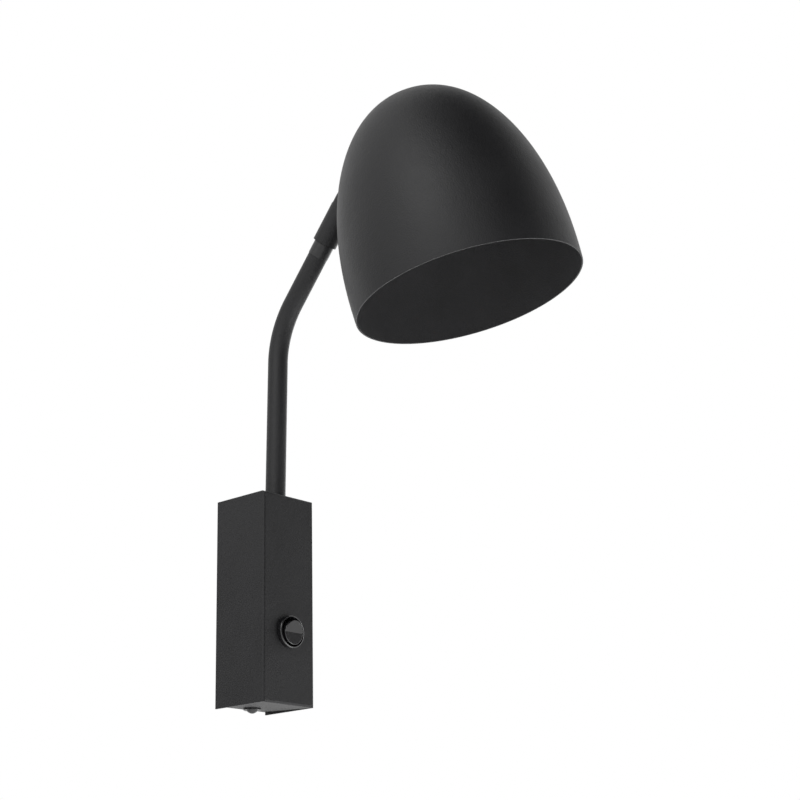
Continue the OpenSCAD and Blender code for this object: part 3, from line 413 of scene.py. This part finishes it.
white_plastic = finish("white_plastic", (0.75, 0.73, 0.67), 0.45, grain=3, depth=0.006, spread=0.06)
red_sleeving = finish("red_sleeving", (0.42, 0.04, 0.035), 0.4, grain=2, depth=0.01)
black_sheath = finish("black_sheath", (0.022, 0.022, 0.023), 0.5, grain=2.5, depth=0.02)
earth_green = finish("earth_green", (0.16, 0.33, 0.05), 0.42, grain=2.5, depth=0.01)
live_brown = finish("live_brown", (0.12, 0.05, 0.024), 0.42, grain=2.5, depth=0.01)
core_grey = finish("core_grey", (0.15, 0.155, 0.165), 0.42, grain=2.5, depth=0.01)
print("finishes:", ", ".join(material.name for material in bpy.data.materials))

# %% [markdown]
# The frame's own solids stay wherever their shape is already right, which is nearly everything
# inside the box, the arm, the swivel and the holder. Each gets the finish of its material slot.

# %% Dress the solids that stay
FINISH_OF_SLOT = {
    "black_coat": powder_coat, "black_gloss": collar_black, "black_steel": screw_black,
    "zinc_steel": zinc_plate, "brass": brass_plain, "switch_black": switch_gloss,
    "black_plastic": holder_plastic, "white_plastic": white_plastic, "red_sleeve": red_sleeving,
    "lead_black": black_sheath, "core_earth": earth_green, "core_live": live_brown,
    "core_grey": core_grey,
}
for part in frame["record"]["subparts"]:
    solid = frame["nodes"][part["node"]]
    solid.data.materials.clear()
    solid.data.materials.append(FINISH_OF_SLOT[part["material_slot"]])

# %% [markdown]
# ## The shade
# The real shade is spun from a steel disc: a lathe presses the sheet over a form, so every section
# is a circle, and the rim is trimmed and lightly rounded. Spinning an outline in bmesh repeats
# that. The outline is taken at equal steps of an angle, which sets points close together at the
# top, where the curve is tightest. It stays a hair inside the solid, whose facets are coarser. One
# solidify gives the wall, to the inside, and three holes are drilled behind, for the bush of the
# lead and the two screws of the knuckle.

# %% Spin the dome
hair = 0.02 * MM


def dome_outline(steps=64):
    """The dome's outline from the rim to the top, as (radius, height) points."""
    heights = [shade_h * math.sin(0.5 * math.pi * i / steps) for i in range(steps)]
    return [(dome_radius(h) - hair, h) for h in heights] + [(0, shade_h - hair)]


bm = bmesh.new()
turned(bm, dome_outline(), head, steps=160)
bmesh.ops.remove_doubles(bm, verts=bm.verts, dist=WELD)
bmesh.ops.recalc_face_normals(bm, faces=bm.faces)
bmesh.ops.solidify(bm, geom=bm.faces[:], thickness=shade_wall)
foot = (head @ Matrix.Translation((0, dome_radius(foot_h), foot_h))
        @ Matrix.Rotation(foot_slope - math.pi / 2, 4, "X"))
foot_screw_x, foot_screw_r, bush_r = 8.5 * MM, 1.7 * MM, 3.45 * MM
drill_in, drill_out = -4 * MM, 2 * MM
holes = bmesh.new()
for x, hole_r in ((0, bush_r), (-foot_screw_x, foot_screw_r), (foot_screw_x, foot_screw_r)):
    add_rod(holes, hole_r, drill_in, drill_out, foot @ Matrix.Translation((x, 0, 0)), sides=32)
shade = finish_piece("dome_shade", bm, "head", shade_coat_painted_inside, ["shade"],
                     edge=0.3 * MM, sharp=50, cutter=holes)
# Inner faces are marked so that their material paints them lighter, as painted light on the inner wall.
middle_of_dome = head @ Vector((0, 0, 0.4 * shade_h))
inner = shade.data.attributes.new(INNER_SIDE, "FLOAT", "FACE")
for face in shade.data.polygons:
    inner.data[face.index].value = float(face.normal.dot(face.center - middle_of_dome) < 0)
print("inner faces:", sum(int(v.value) for v in inner.data))

# %% [markdown]
# ## The arm
# A tube bender pulls a straight tube round a form, so the arm is three stretches: straight, an
# arc, straight. Extruding one ring along them gives exactly that. The ring starts on the top of the
# housing, is spun about the centre of the bend and goes on along the upper arm.

# %% Bend the tube
tube_wall = 1.2 * MM
bend_angle = stem.to_3x3().col[2].angle(turn_axis)
bend_cut = bend_r * math.tan(bend_angle / 2)
stem_y_axis, stem_dir = stem.to_3x3().col[1], stem.to_3x3().col[2]
bend_centre = stem.translation + stem_dir * (knee_h - bend_cut) - stem_y_axis * bend_r


def ring_edges(verts):
    """The edges that run round a ring of vertices."""
    ring = set(verts)
    return [e for e in {e for v in ring for e in v.link_edges} if set(e.verts) <= ring]


def pull_ring(bm, verts, move):
    """Extrudes a ring of edges along a move and returns the new ring."""
    grown = bmesh.ops.extrude_edge_only(bm, edges=ring_edges(verts))["geom"]
    fresh = [g for g in grown if isinstance(g, bmesh.types.BMVert)]
    bmesh.ops.translate(bm, vec=move, verts=fresh)
    return fresh


bm = bmesh.new()
ring = bmesh.ops.create_circle(bm, cap_ends=False, segments=64, radius=tube_r)["verts"]
bmesh.ops.transform(bm, matrix=stem, verts=ring)
ring = pull_ring(bm, ring, stem_dir * (knee_h - bend_cut))
arc = bmesh.ops.spin(bm, geom=ring + ring_edges(ring), cent=bend_centre, axis=ACROSS,
                     dvec=(0, 0, 0), angle=bend_angle, steps=40, use_merge=False,
                     use_duplicate=False)
ring = [g for g in arc["geom_last"] if isinstance(g, bmesh.types.BMVert)]
pull_ring(bm, ring, turn_axis * (tube_end - bend_cut))
bmesh.ops.remove_doubles(bm, verts=bm.verts, dist=WELD)
bmesh.ops.recalc_face_normals(bm, faces=bm.faces)
bmesh.ops.solidify(bm, geom=bm.faces[:], thickness=tube_wall)
finish_piece("bent_arm", bm, "base", powder_coat, ["arm_tube"], sharp=50)

# %% [markdown]
# ## Collar and sleeve
# The swivel is two turned pieces. The spindle is plugged into the tube and shows only as a
# smoother, glossier collar. The sleeve turns on it, a little wider, with a crisp lower rim. Both
# are outlines spun round the upper arm, and both keep the bores that their solids have. The spindle
# also keeps the part ring groove in which the stop screw runs, cut as a rectangle that is spun
# through the groove's own angle.

# %% Turn the spindle
collar_r, collar_l = 7.7 * MM, 10.6 * MM
sleeve_z = tube_end + collar_l
plug_r, plug_low, journal_r, journal_l = 6.15 * MM, tube_end - 14 * MM, 7.0 * MM, 12.4 * MM
neck_r, neck_l, neck_bore = 5.0 * MM, 9.0 * MM, 3.0 * MM
bm = bmesh.new()
turned(bm, [(neck_bore, plug_low), (plug_r, plug_low), (plug_r, tube_end),
            (collar_r, tube_end), (collar_r, sleeve_z), (journal_r, sleeve_z),
            (journal_r, sleeve_z + journal_l), (neck_r, sleeve_z + journal_l),
            (neck_r, sleeve_z + journal_l + neck_l), (neck_bore, sleeve_z + journal_l + neck_l),
            (neck_bore, plug_low)], reach, steps=64)

# %% Cut the groove for the stop screw
stop_z, groove_r, groove_w = sleeve_z + 8.3 * MM, 5.5 * MM, 3.6 * MM
groove_half = math.radians(109)
groove = bmesh.new()
wall = [groove.verts.new((r, 0, stop_z + h)) for r, h in
        ((groove_r, -groove_w / 2), (2 * groove_r, -groove_w / 2), (2 * groove_r, groove_w / 2),
         (groove_r, groove_w / 2))]
wall_edges = [groove.edges.new(pair) for pair in zip(wall, wall[1:] + wall[:1])]
bmesh.ops.transform(groove, matrix=Matrix.Rotation(math.pi / 2 - groove_half, 4, "Z"), verts=wall)
bmesh.ops.spin(groove, geom=wall + wall_edges, cent=(0, 0, 0), axis=(0, 0, 1), dvec=(0, 0, 0),
               angle=2 * groove_half, steps=48, use_merge=False, use_duplicate=False)
bmesh.ops.holes_fill(groove, edges=groove.edges)
bmesh.ops.transform(groove, matrix=reach, verts=groove.verts)
finish_piece("swivel_collar", bm, "base", collar_black, ["swivel_spindle"],
             edge=0.3 * MM, cutter=groove)

# %% Turn the sleeve and drill it for its grub screws
sleeve_r, sleeve_l, sleeve_gap, run = 9.2 * MM, 28 * MM, 0.2 * MM, 0.05 * MM
web_low, web_high = sleeve_z + journal_l + 0.7 * MM, sleeve_z + journal_l + 3.2 * MM
cavity_r = sleeve_r - 1.5 * MM
sleeve_top = sleeve_z + sleeve_l
fork_screw_z = sleeve_top - 2.75 * MM
grub_r = 1.55 * MM
bm = bmesh.new()
turned(bm, [(journal_r + run, sleeve_z + sleeve_gap), (sleeve_r, sleeve_z + sleeve_gap),
            (sleeve_r, sleeve_top), (cavity_r, sleeve_top), (cavity_r, web_high),
            (neck_r + run, web_high), (neck_r + run, web_low), (journal_r + run, web_low),
            (journal_r + run, sleeve_z + sleeve_gap)], swivel, steps=72)
drill = bmesh.new()
for height in (stop_z, fork_screw_z):
    sideways = (swivel @ Matrix.Translation((0, 0, height))
                @ Matrix.Rotation(-math.pi / 2, 4, "X"))
    add_rod(drill, grub_r, 0, 2 * sleeve_r, sideways, sides=32)
finish_piece("swivel_sleeve", bm, "sleeve", powder_coat, ["head_sleeve"],
             edge=0.3 * MM, cutter=drill)

# %% [markdown]
# ## The tilt joint
# A forked end on the sleeve holds the knuckle of the shade between two cheeks. These are small
# machined pieces with flats, so their solids have the right shape already. They only lack the
# broken edges of a coated piece. A copy of the solid is merged, its flat faces are joined, and a
# bevel rounds the edges that are left.

# %% Soften a copy of a solid
def softened(node, name, body, material, edge):
    """Puts a copy of a CAD node in its place, with its flats joined and its edges rounded."""
    bm = bmesh.new()
    bm.from_mesh(frame["nodes"][node].data)
    bmesh.ops.remove_doubles(bm, verts=bm.verts, dist=WELD)
    bmesh.ops.dissolve_limit(bm, angle_limit=math.radians(1), verts=bm.verts, edges=bm.edges)
    finish_piece(name, bm, body, material, [node], edge=edge, segments=2, sharp=32)


softened("tilt_fork", "sleeve_fork", "sleeve", powder_coat, 0.25 * MM)
softened("knuckle", "shade_knuckle", "head", powder_coat, 0.25 * MM)

# %% [markdown]
# ## The housing
# The housing is one piece of sheet: a front, two sides folded back, a top folded over with small
# notches where the folds meet, and a bottom that is folded back too and rises a little towards the
# wall. It starts as a box without a back and a bottom. A bevel gives the edges at the front the
# radius of the fold, and a solidify gives the sheet its thickness. A small lip hangs from the top
# near the wall, for the hook of the bracket. The bottom is a second strip, drawn as the line that
# the sheet follows and extruded across.

# %% Fold the sheet
low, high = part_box("housing")
sheet, fold_r, lip_y, lip_h = 1.2 * MM, 1.8 * MM, 3.5 * MM, 5 * MM
fold_steps = 12
bm = bmesh.new()
add_box(bm, low, high)


def sides_of(edge):
    """Which faces of the box an edge lies on."""
    middle = (edge.verts[0].co + edge.verts[1].co) / 2
    away = {"left": middle.x - low.x, "right": high.x - middle.x, "front": middle.y - low.y,
            "top": high.z - middle.z}
    return {side for side, distance in away.items() if distance < 0.01 * MM}


bmesh.ops.delete(bm, geom=[f for f in bm.faces if f.normal.y > 0.9 or f.normal.z < -0.9],
                 context="FACES_ONLY")
folds = [e for e in bm.edges
         if sides_of(e) in ({"left", "front"}, {"right", "front"}, {"front", "top"})]
bmesh.ops.bevel(bm, geom=folds, offset=fold_r, offset_type="OFFSET", affect="EDGES",
                segments=fold_steps, profile=0.5, material=-1, clamp_overlap=True)
bmesh.ops.recalc_face_normals(bm, faces=bm.faces)
if sum(f.normal.y * f.calc_area() for f in bm.faces) > 0:
    bmesh.ops.reverse_faces(bm, faces=bm.faces)
bmesh.ops.solidify(bm, geom=bm.faces[:], thickness=sheet)
add_box(bm, (low.x + sheet + lip_y, high.y - lip_y - sheet, high.z - sheet - lip_h),
        (high.x - sheet - lip_y, high.y - lip_y, high.z - sheet))

# %% Cut the switch hole, the arm hole, the corner notches and the room for the bottom fold
switch_low, switch_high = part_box("switch_body")
switch_at = Vector((0, low.y, (switch_low.z + switch_high.z) / 2))
out_of_front = place(switch_at, (0, -1, 0), ACROSS)
switch_hole_r, arm_hole_r, notch_w, notch_h = 10.1 * MM, 5.2 * MM, 1.6 * MM, 4.8 * MM
side_gap, bottom_rise, bottom_back = 0.3 * MM, 2 * MM, -0.5 * MM
bottom_w = high.x - low.x - 2 * sheet - 2 * side_gap
punch = bmesh.new()
add_rod(punch, switch_hole_r, -3 * sheet, 3 * sheet, out_of_front, sides=96)
add_rod(punch, arm_hole_r, -3 * sheet, 3 * sheet, stem)
for x in (low.x, high.x):
    corner = Matrix.Translation((x, low.y, high.z)) @ Matrix.Rotation(math.pi / 4, 4, "Z")
    add_box(punch, (-notch_w / 2, -notch_w / 2, -notch_h), (notch_w / 2, notch_w / 2, sheet),
            corner)
add_box(punch, (-bottom_w / 2, low.y - sheet, low.z - sheet),
        (bottom_w / 2, low.y + 2 * sheet, low.z + fold_r))
finish_piece("folded_housing", bm, "base", powder_coat, ["housing"],
             edge=0.25 * MM, sharp=50, cutter=punch, flat_from=40 * MM ** 2)

# %% Fold the bottom back
screw_low, screw_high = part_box("fixing_screw")
screw_y = (screw_low.y + screw_high.y) / 2
fold_line = [(low.y, low.z + fold_r)]
for i in range(1, fold_steps + 1):
    angle = 0.5 * math.pi * i / fold_steps
    fold_line.append((low.y + fold_r * (1 - math.cos(angle)),
                      low.z + fold_r * (1 - math.sin(angle))))
fold_line.append((bottom_back, low.z + bottom_rise))
bm = bmesh.new()
line = [bm.verts.new((-bottom_w / 2, y, z)) for y, z in fold_line]
edges = [bm.edges.new(pair) for pair in zip(line, line[1:])]
grown = bmesh.ops.extrude_edge_only(bm, edges=edges)["geom"]
bmesh.ops.translate(bm, vec=(bottom_w, 0, 0),
                    verts=[g for g in grown if isinstance(g, bmesh.types.BMVert)])
bmesh.ops.recalc_face_normals(bm, faces=bm.faces)
if sum(f.normal.z * f.calc_area() for f in bm.faces) > 0:
    bmesh.ops.reverse_faces(bm, faces=bm.faces)
bmesh.ops.solidify(bm, geom=bm.faces[:], thickness=sheet)
screw_hole_r = 2.4 * MM
hole = bmesh.new()
add_rod(hole, screw_hole_r, low.z - sheet, low.z + 3 * sheet, Matrix.Translation((0, screw_y, 0)))
finish_piece("folded_bottom", bm, "base", powder_coat, ["housing"],
             edge=0.1 * MM, segments=2, sharp=50, cutter=hole, flat_from=20 * MM ** 2)

# %% [markdown]
# ## The screw in the bottom
# A flanged screw with a low dome and a hexagon socket holds the housing to the bracket. Its head
# is a spun outline: the flat flange, then an arc that reaches the middle. The socket is a hexagon
# that is cut out of the dome.

# %% Turn the screw
flange_r, flange_t, head_r, head_h = 6.3 * MM, 1.2 * MM, 4.2 * MM, 2.4 * MM
shank_r, socket_r, socket_top = 2 * MM, 1.45 * MM, -flange_t - 0.4 * MM
head_z = screw_low.z + head_h + flange_t
screw_place = Matrix.Translation((0, screw_y, head_z))
dome_ball = (head_r ** 2 + head_h ** 2) / (2 * head_h)
arc_steps = 12
dome_half = math.asin(head_r / dome_ball)
dome_arc = [(dome_ball * math.sin(a), -flange_t - head_h + dome_ball * (1 - math.cos(a)))
            for a in (dome_half * (arc_steps - i) / arc_steps for i in range(arc_steps))]
bm = bmesh.new()
turned(bm, [(0, screw_high.z - head_z), (shank_r, screw_high.z - head_z), (shank_r, 0),
            (flange_r, 0), (flange_r, -flange_t)] + dome_arc + [(0, -flange_t - head_h)],
       screw_place, steps=64)
hexagon = bmesh.new()
add_rod(hexagon, socket_r, -flange_t - 2 * head_h, socket_top, screw_place, sides=6)
finish_piece("cover_screw", bm, "base", screw_black, ["fixing_screw"],
             edge=0.2 * MM, sharp=38, cutter=hexagon)

# %% [markdown]
# ## The rocker switch
# The switch is the one glossy thing on the lamp, so its shape is read from reflections alone. Its
# rim is a ring that stands 3.8 mm proud, with a narrow lip and a wall that slopes in to the
# rocker. The rocker is a round button whose face is folded along the middle. Its lower end is
# pressed in and lies level, and its upper end stands out and looks down a little, so that it shows
# the lighter floor.

# %% The rim and barrel
rim_r, rim_t, lip_t, well_r = 11.7 * MM, 3.8 * MM, 1 * MM, 9.1 * MM
barrel_r, barrel_l, floor_t, rim_round = 9.9 * MM, 14 * MM, 3 * MM, 0.9 * MM
rim_arc = [(rim_r - rim_round * (1 - math.cos(a)), rim_t - rim_round * (1 - math.sin(a)))
           for a in (math.radians(angle) for angle in range(0, 91, 15))]
bm = bmesh.new()
turned(bm, [(0, -barrel_l), (barrel_r, -barrel_l), (barrel_r, 0), (rim_r, 0)] + rim_arc
       + [(rim_r - lip_t, rim_t), (well_r, 0), (well_r, floor_t - barrel_l),
          (0, floor_t - barrel_l)],
       out_of_front, steps=96)
finish_piece("switch_rim", bm, "base", switch_gloss, ["switch_body"],
             edge=0.12 * MM, segments=3, sharp=30)

# %% The rocker
rocker_r, rocker_rise, rocker_tilt = 8.6 * MM, 6.1 * MM, math.radians(7)
skirt_z, hinge_z = -4.5 * MM, -1.5 * MM
dip = rocker_r * math.tan(rocker_tilt)
bm = bmesh.new()
add_rod(bm, rocker_r, skirt_z, rocker_rise, Matrix(), sides=96)
bmesh.ops.bisect_plane(bm, geom=bm.verts[:] + bm.edges[:] + bm.faces[:], plane_co=(0, 0, 0),
                       plane_no=(0, 1, 0), dist=0.001 * MM)
for v in bm.verts:
    if v.co.z > 0:
        v.co.z -= dip * (1 - abs(v.co.y) / rocker_r)
tipped = (Matrix.Translation((0, 0, hinge_z)) @ Matrix.Rotation(rocker_tilt, 4, "X")
          @ Matrix.Translation((0, 0, -hinge_z)))
bmesh.ops.transform(bm, verts=bm.verts, matrix=out_of_front @ tipped)
finish_piece("switch_button", bm, "rocker", switch_gloss, ["switch_rocker"],
             edge=0.5 * MM, segments=4, sharp=30, flat_from=50 * MM ** 2)

# %% [markdown]
# ## The lamp holder
# From below, the shade is not empty: a black holder hangs in its top on a bent strap. Its body is
# a turned skirt with grooves for the fingers, open at the bottom, where the brass shell for the
# bulb shows. A spun outline makes the body. The cap above it and the brass keep their solids.

# %% Turn the holder
holder_r = 20 * MM
plate_top = shade_h - 23.5 * MM
strap_t = 1.5 * MM
holder_low = plate_top - strap_t - 52 * MM
cap_low = plate_top - strap_t - 18 * MM
shell_outer = 13.95 * MM
core_low = holder_low + 26.1 * MM
holder_wall, lead_in, seam = 2 * MM, 1.6 * MM, 0.1 * MM
ribs, first_rib, rib_pitch, rib_w = 6, 6 * MM, 4 * MM, 2.4 * MM
finger_w, finger_slope, finger_deep = 0.8 * MM, 0.4 * MM, 0.5 * MM
side = []
for i in range(ribs):
    z = holder_low + first_rib + i * rib_pitch
    side += [(holder_r, z), (holder_r, z + rib_w),
             (holder_r - finger_deep, z + rib_w + finger_slope),
             (holder_r - finger_deep, z + rib_w + finger_slope + finger_w)]
bm = bmesh.new()
turned(bm, [(shell_outer, holder_low), (holder_r - lead_in, holder_low),
            (holder_r, holder_low + lead_in)] + side
       + [(holder_r, cap_low - holder_wall), (holder_r, cap_low - seam),
          (holder_r - holder_wall, cap_low - seam), (holder_r - holder_wall, core_low),
          (shell_outer, core_low), (shell_outer, holder_low)],
       head, steps=96)
finish_piece("holder_skirt", bm, "head", holder_plastic, ["holder_body"],
             edge=0.25 * MM, segments=2, sharp=30)

# %% The strap that carries it
softened("holder_strap", "holder_bracket", "head", zinc_plate, 0.2 * MM)

# %% [markdown]
# ## Light, floor and camera
# A black lamp in a white room shows almost nothing but reflections. The world is white where the
# camera and glossy rays see it, and dimmer as a light. Soft lamps from the left, the right and
# below shape the piece. What draws the form is what isn't white: a dark screen in front and a dark
# canopy above it give the tube and the dome their dark bands, a small grey screen to the right
# tells the two faces of the switch apart, and a card behind on the left deepens the box's side. The
# camera doesn't see them. The floor lies far below, lends its paleness to the underside and is
# see-through from beneath.

# %% The world
white, room_light = 1.0, 0.55
world = bpy.data.worlds.new("studio")
scene.world = world
world.use_nodes = True
n, link = world.node_tree.nodes, world.node_tree.links.new
n.clear()
out = n.new("ShaderNodeOutputWorld")
seen, lit = n.new("ShaderNodeBackground"), n.new("ShaderNodeBackground")
mix, rays = n.new("ShaderNodeMixShader"), n.new("ShaderNodeLightPath")
shown, either = n.new("ShaderNodeMath"), n.new("ShaderNodeMath")
shown.operation = either.operation = "MAXIMUM"
seen.inputs["Strength"].default_value = white
lit.inputs["Strength"].default_value = room_light
seen.inputs["Color"].default_value = lit.inputs["Color"].default_value = (1, 1, 1, 1)
link(rays.outputs["Is Camera Ray"], shown.inputs[0])
link(rays.outputs["Is Transmission Ray"], shown.inputs[1])
link(shown.outputs[0], either.inputs[0])
link(rays.outputs["Is Glossy Ray"], either.inputs[1])
link(either.outputs[0], mix.inputs[0])
link(lit.outputs[0], mix.inputs[1])
link(seen.outputs[0], mix.inputs[2])
link(mix.outputs[0], out.inputs["Surface"])
print("world: strength", white, "as seen,", room_light, "as light")


# %% The lamps
LONG_SIDE = (0.1, 1, 0.1)


def soft_lamp(name, at, towards, width, height, power):
    """A large rectangular lamp that looks from one point to another."""
    data = bpy.data.lights.new(name, "AREA")
    data.shape, data.size, data.size_y, data.energy = "RECTANGLE", width, height, power
    lamp = bpy.data.objects.new(name, data)
    scene.collection.objects.link(lamp)
    lamp.matrix_world = place(at, Vector(at) - Vector(towards), LONG_SIDE)
    lamp.visible_camera = False


middle = (Vector(cad_low) + Vector(cad_high)) / 2
soft_lamp("left_window", (-1.3, -0.45, 1.05), middle, 0.8, 0.8, 8)
soft_lamp("left_strip", (-1.5, 0.12, 0.3), middle, 0.9, 0.15, 1)
soft_lamp("right_window", (1.4, 0.5, 0.3), middle, 1.2, 0.8, 5)
soft_lamp("low_fill", (0.5, -0.9, -0.45), middle, 0.6, 0.4, 3.5)
soft_lamp("floor_wash", (-0.1, -0.5, -0.2), (-0.1, -0.5, -0.7), 0.8, 0.8, 5)
print("lamps:", sum(light.energy for light in bpy.data.lights), "watts in all")

# %% The screens
card_t = 10 * MM


def screen(name, at, towards, width, height, grey):
    """A card that the camera doesn't see and that keeps part of the white room out of the gloss."""
    bm = bmesh.new()
    add_box(bm, (-width / 2, -height / 2, -card_t / 2), (width / 2, height / 2, card_t / 2),
            place(at, Vector(towards) - Vector(at), ACROSS))
    mesh = bpy.data.meshes.new(name)
    bm.to_mesh(mesh)
    bm.free()
    card = bpy.data.objects.new(name, mesh)
    scene.collection.objects.link(card)
    felt = bpy.data.materials.new(name)
    felt.use_nodes = True
    shader = felt.node_tree.nodes["Principled BSDF"]
    shader.inputs["Base Color"].default_value = (grey, grey, grey, 1)
    shader.inputs["Roughness"].default_value = 0.9
    mesh.materials.append(felt)
    card.visible_camera = False
    card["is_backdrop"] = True
    print(f"{name}: {width} x {height} m, grey {grey}")


screen("dark_canopy", (0.14, -0.86, 1.42), (0, -0.2, 0.25), 1.6, 2.2, 0.01)
screen("dark_screen", (0.13, -1.5, 0.35), (0, 0, 0.15), 1.1, 0.9, 0.01)
screen("grey_screen", (0.85, -0.81, 0.36), (0, 0, 0), 0.4, 0.5, 0.3)
screen("left_card", (-1.08, 1.18, 0), (0, 0, -0.05), 0.9, 0.6, 0.02)

# %% The floor
floor_drop, floor_half, paper_grey, floor_glow = 0.6, 30, 0.82, 0.52
bm = bmesh.new()
bmesh.ops.create_grid(bm, x_segments=1, y_segments=1, size=floor_half)
bmesh.ops.translate(bm, vec=(0, 0, cad_low[2] - floor_drop), verts=bm.verts)
mesh = bpy.data.meshes.new("floor")
bm.to_mesh(mesh)
bm.free()
floor = bpy.data.objects.new("floor", mesh)
scene.collection.objects.link(floor)
pale = bpy.data.materials.new("pale_floor")
pale.use_nodes = True
n, link = pale.node_tree.nodes, pale.node_tree.links.new
paper = n["Principled BSDF"]
paper.inputs["Base Color"].default_value = (paper_grey, paper_grey, paper_grey, 1)
paper.inputs["Roughness"].default_value = 0.9
rays = n.new("ShaderNodeLightPath")
looked_at, lifted = n.new("ShaderNodeMath"), n.new("ShaderNodeMath")
looked_at.operation, lifted.operation = "MAXIMUM", "MULTIPLY"
lifted.inputs[1].default_value = floor_glow
link(rays.outputs["Is Camera Ray"], looked_at.inputs[0])
link(rays.outputs["Is Glossy Ray"], looked_at.inputs[1])
link(looked_at.outputs[0], lifted.inputs[0])
link(lifted.outputs[0], paper.inputs["Emission Strength"])
paper.inputs["Emission Color"].default_value = (1, 1, 1, 1)
sides, upper_side = n.new("ShaderNodeNewGeometry"), n.new("ShaderNodeMath")
upper_side.operation = "SUBTRACT"
upper_side.inputs[0].default_value = 1
link(sides.outputs["Backfacing"], upper_side.inputs[1])
link(upper_side.outputs[0], paper.inputs["Alpha"])
mesh.materials.append(pale)
floor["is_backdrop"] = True
print("floor:", floor_drop, "m below the lamp")

# %% [markdown]
# The camera stands low on the left and looks up. Its place, direction and lens come from fitting
# the edges of the box, the arm and the rim of the shade in the photograph. The principal point is
# the middle of the picture, so there is no shift.

# %% The camera
camera_at = Vector((-0.853, -0.9115, -0.2505))
azimuth, elevation, roll = (math.radians(a) for a in (-48.58, -18.21, -1.31))
focal_px, picture_px, sensor = 1720, 800, 36
back = Vector((math.sin(azimuth) * math.cos(elevation), -math.cos(azimuth) * math.cos(elevation),
               math.sin(elevation)))
level = (-back).cross(Vector((0, 0, 1))).normalized()
upright = level.cross(-back)
right = math.cos(roll) * level + math.sin(roll) * upright
up = math.cos(roll) * upright - math.sin(roll) * level
data = bpy.data.cameras.new("photo_camera")
data.sensor_width, data.lens = sensor, sensor * focal_px / picture_px
data.clip_start, data.clip_end = 0.05, 20
camera = bpy.data.objects.new("photo_camera", data)
scene.collection.objects.link(camera)
facing = Matrix((right, up, back)).transposed().to_4x4()
camera.matrix_world = Matrix.Translation(camera_at) @ facing
scene.camera = camera
scene.view_settings.view_transform = "Standard"
print("lens:", round(data.lens, 1), "mm, distance", round((camera_at - middle).length, 3), "m")
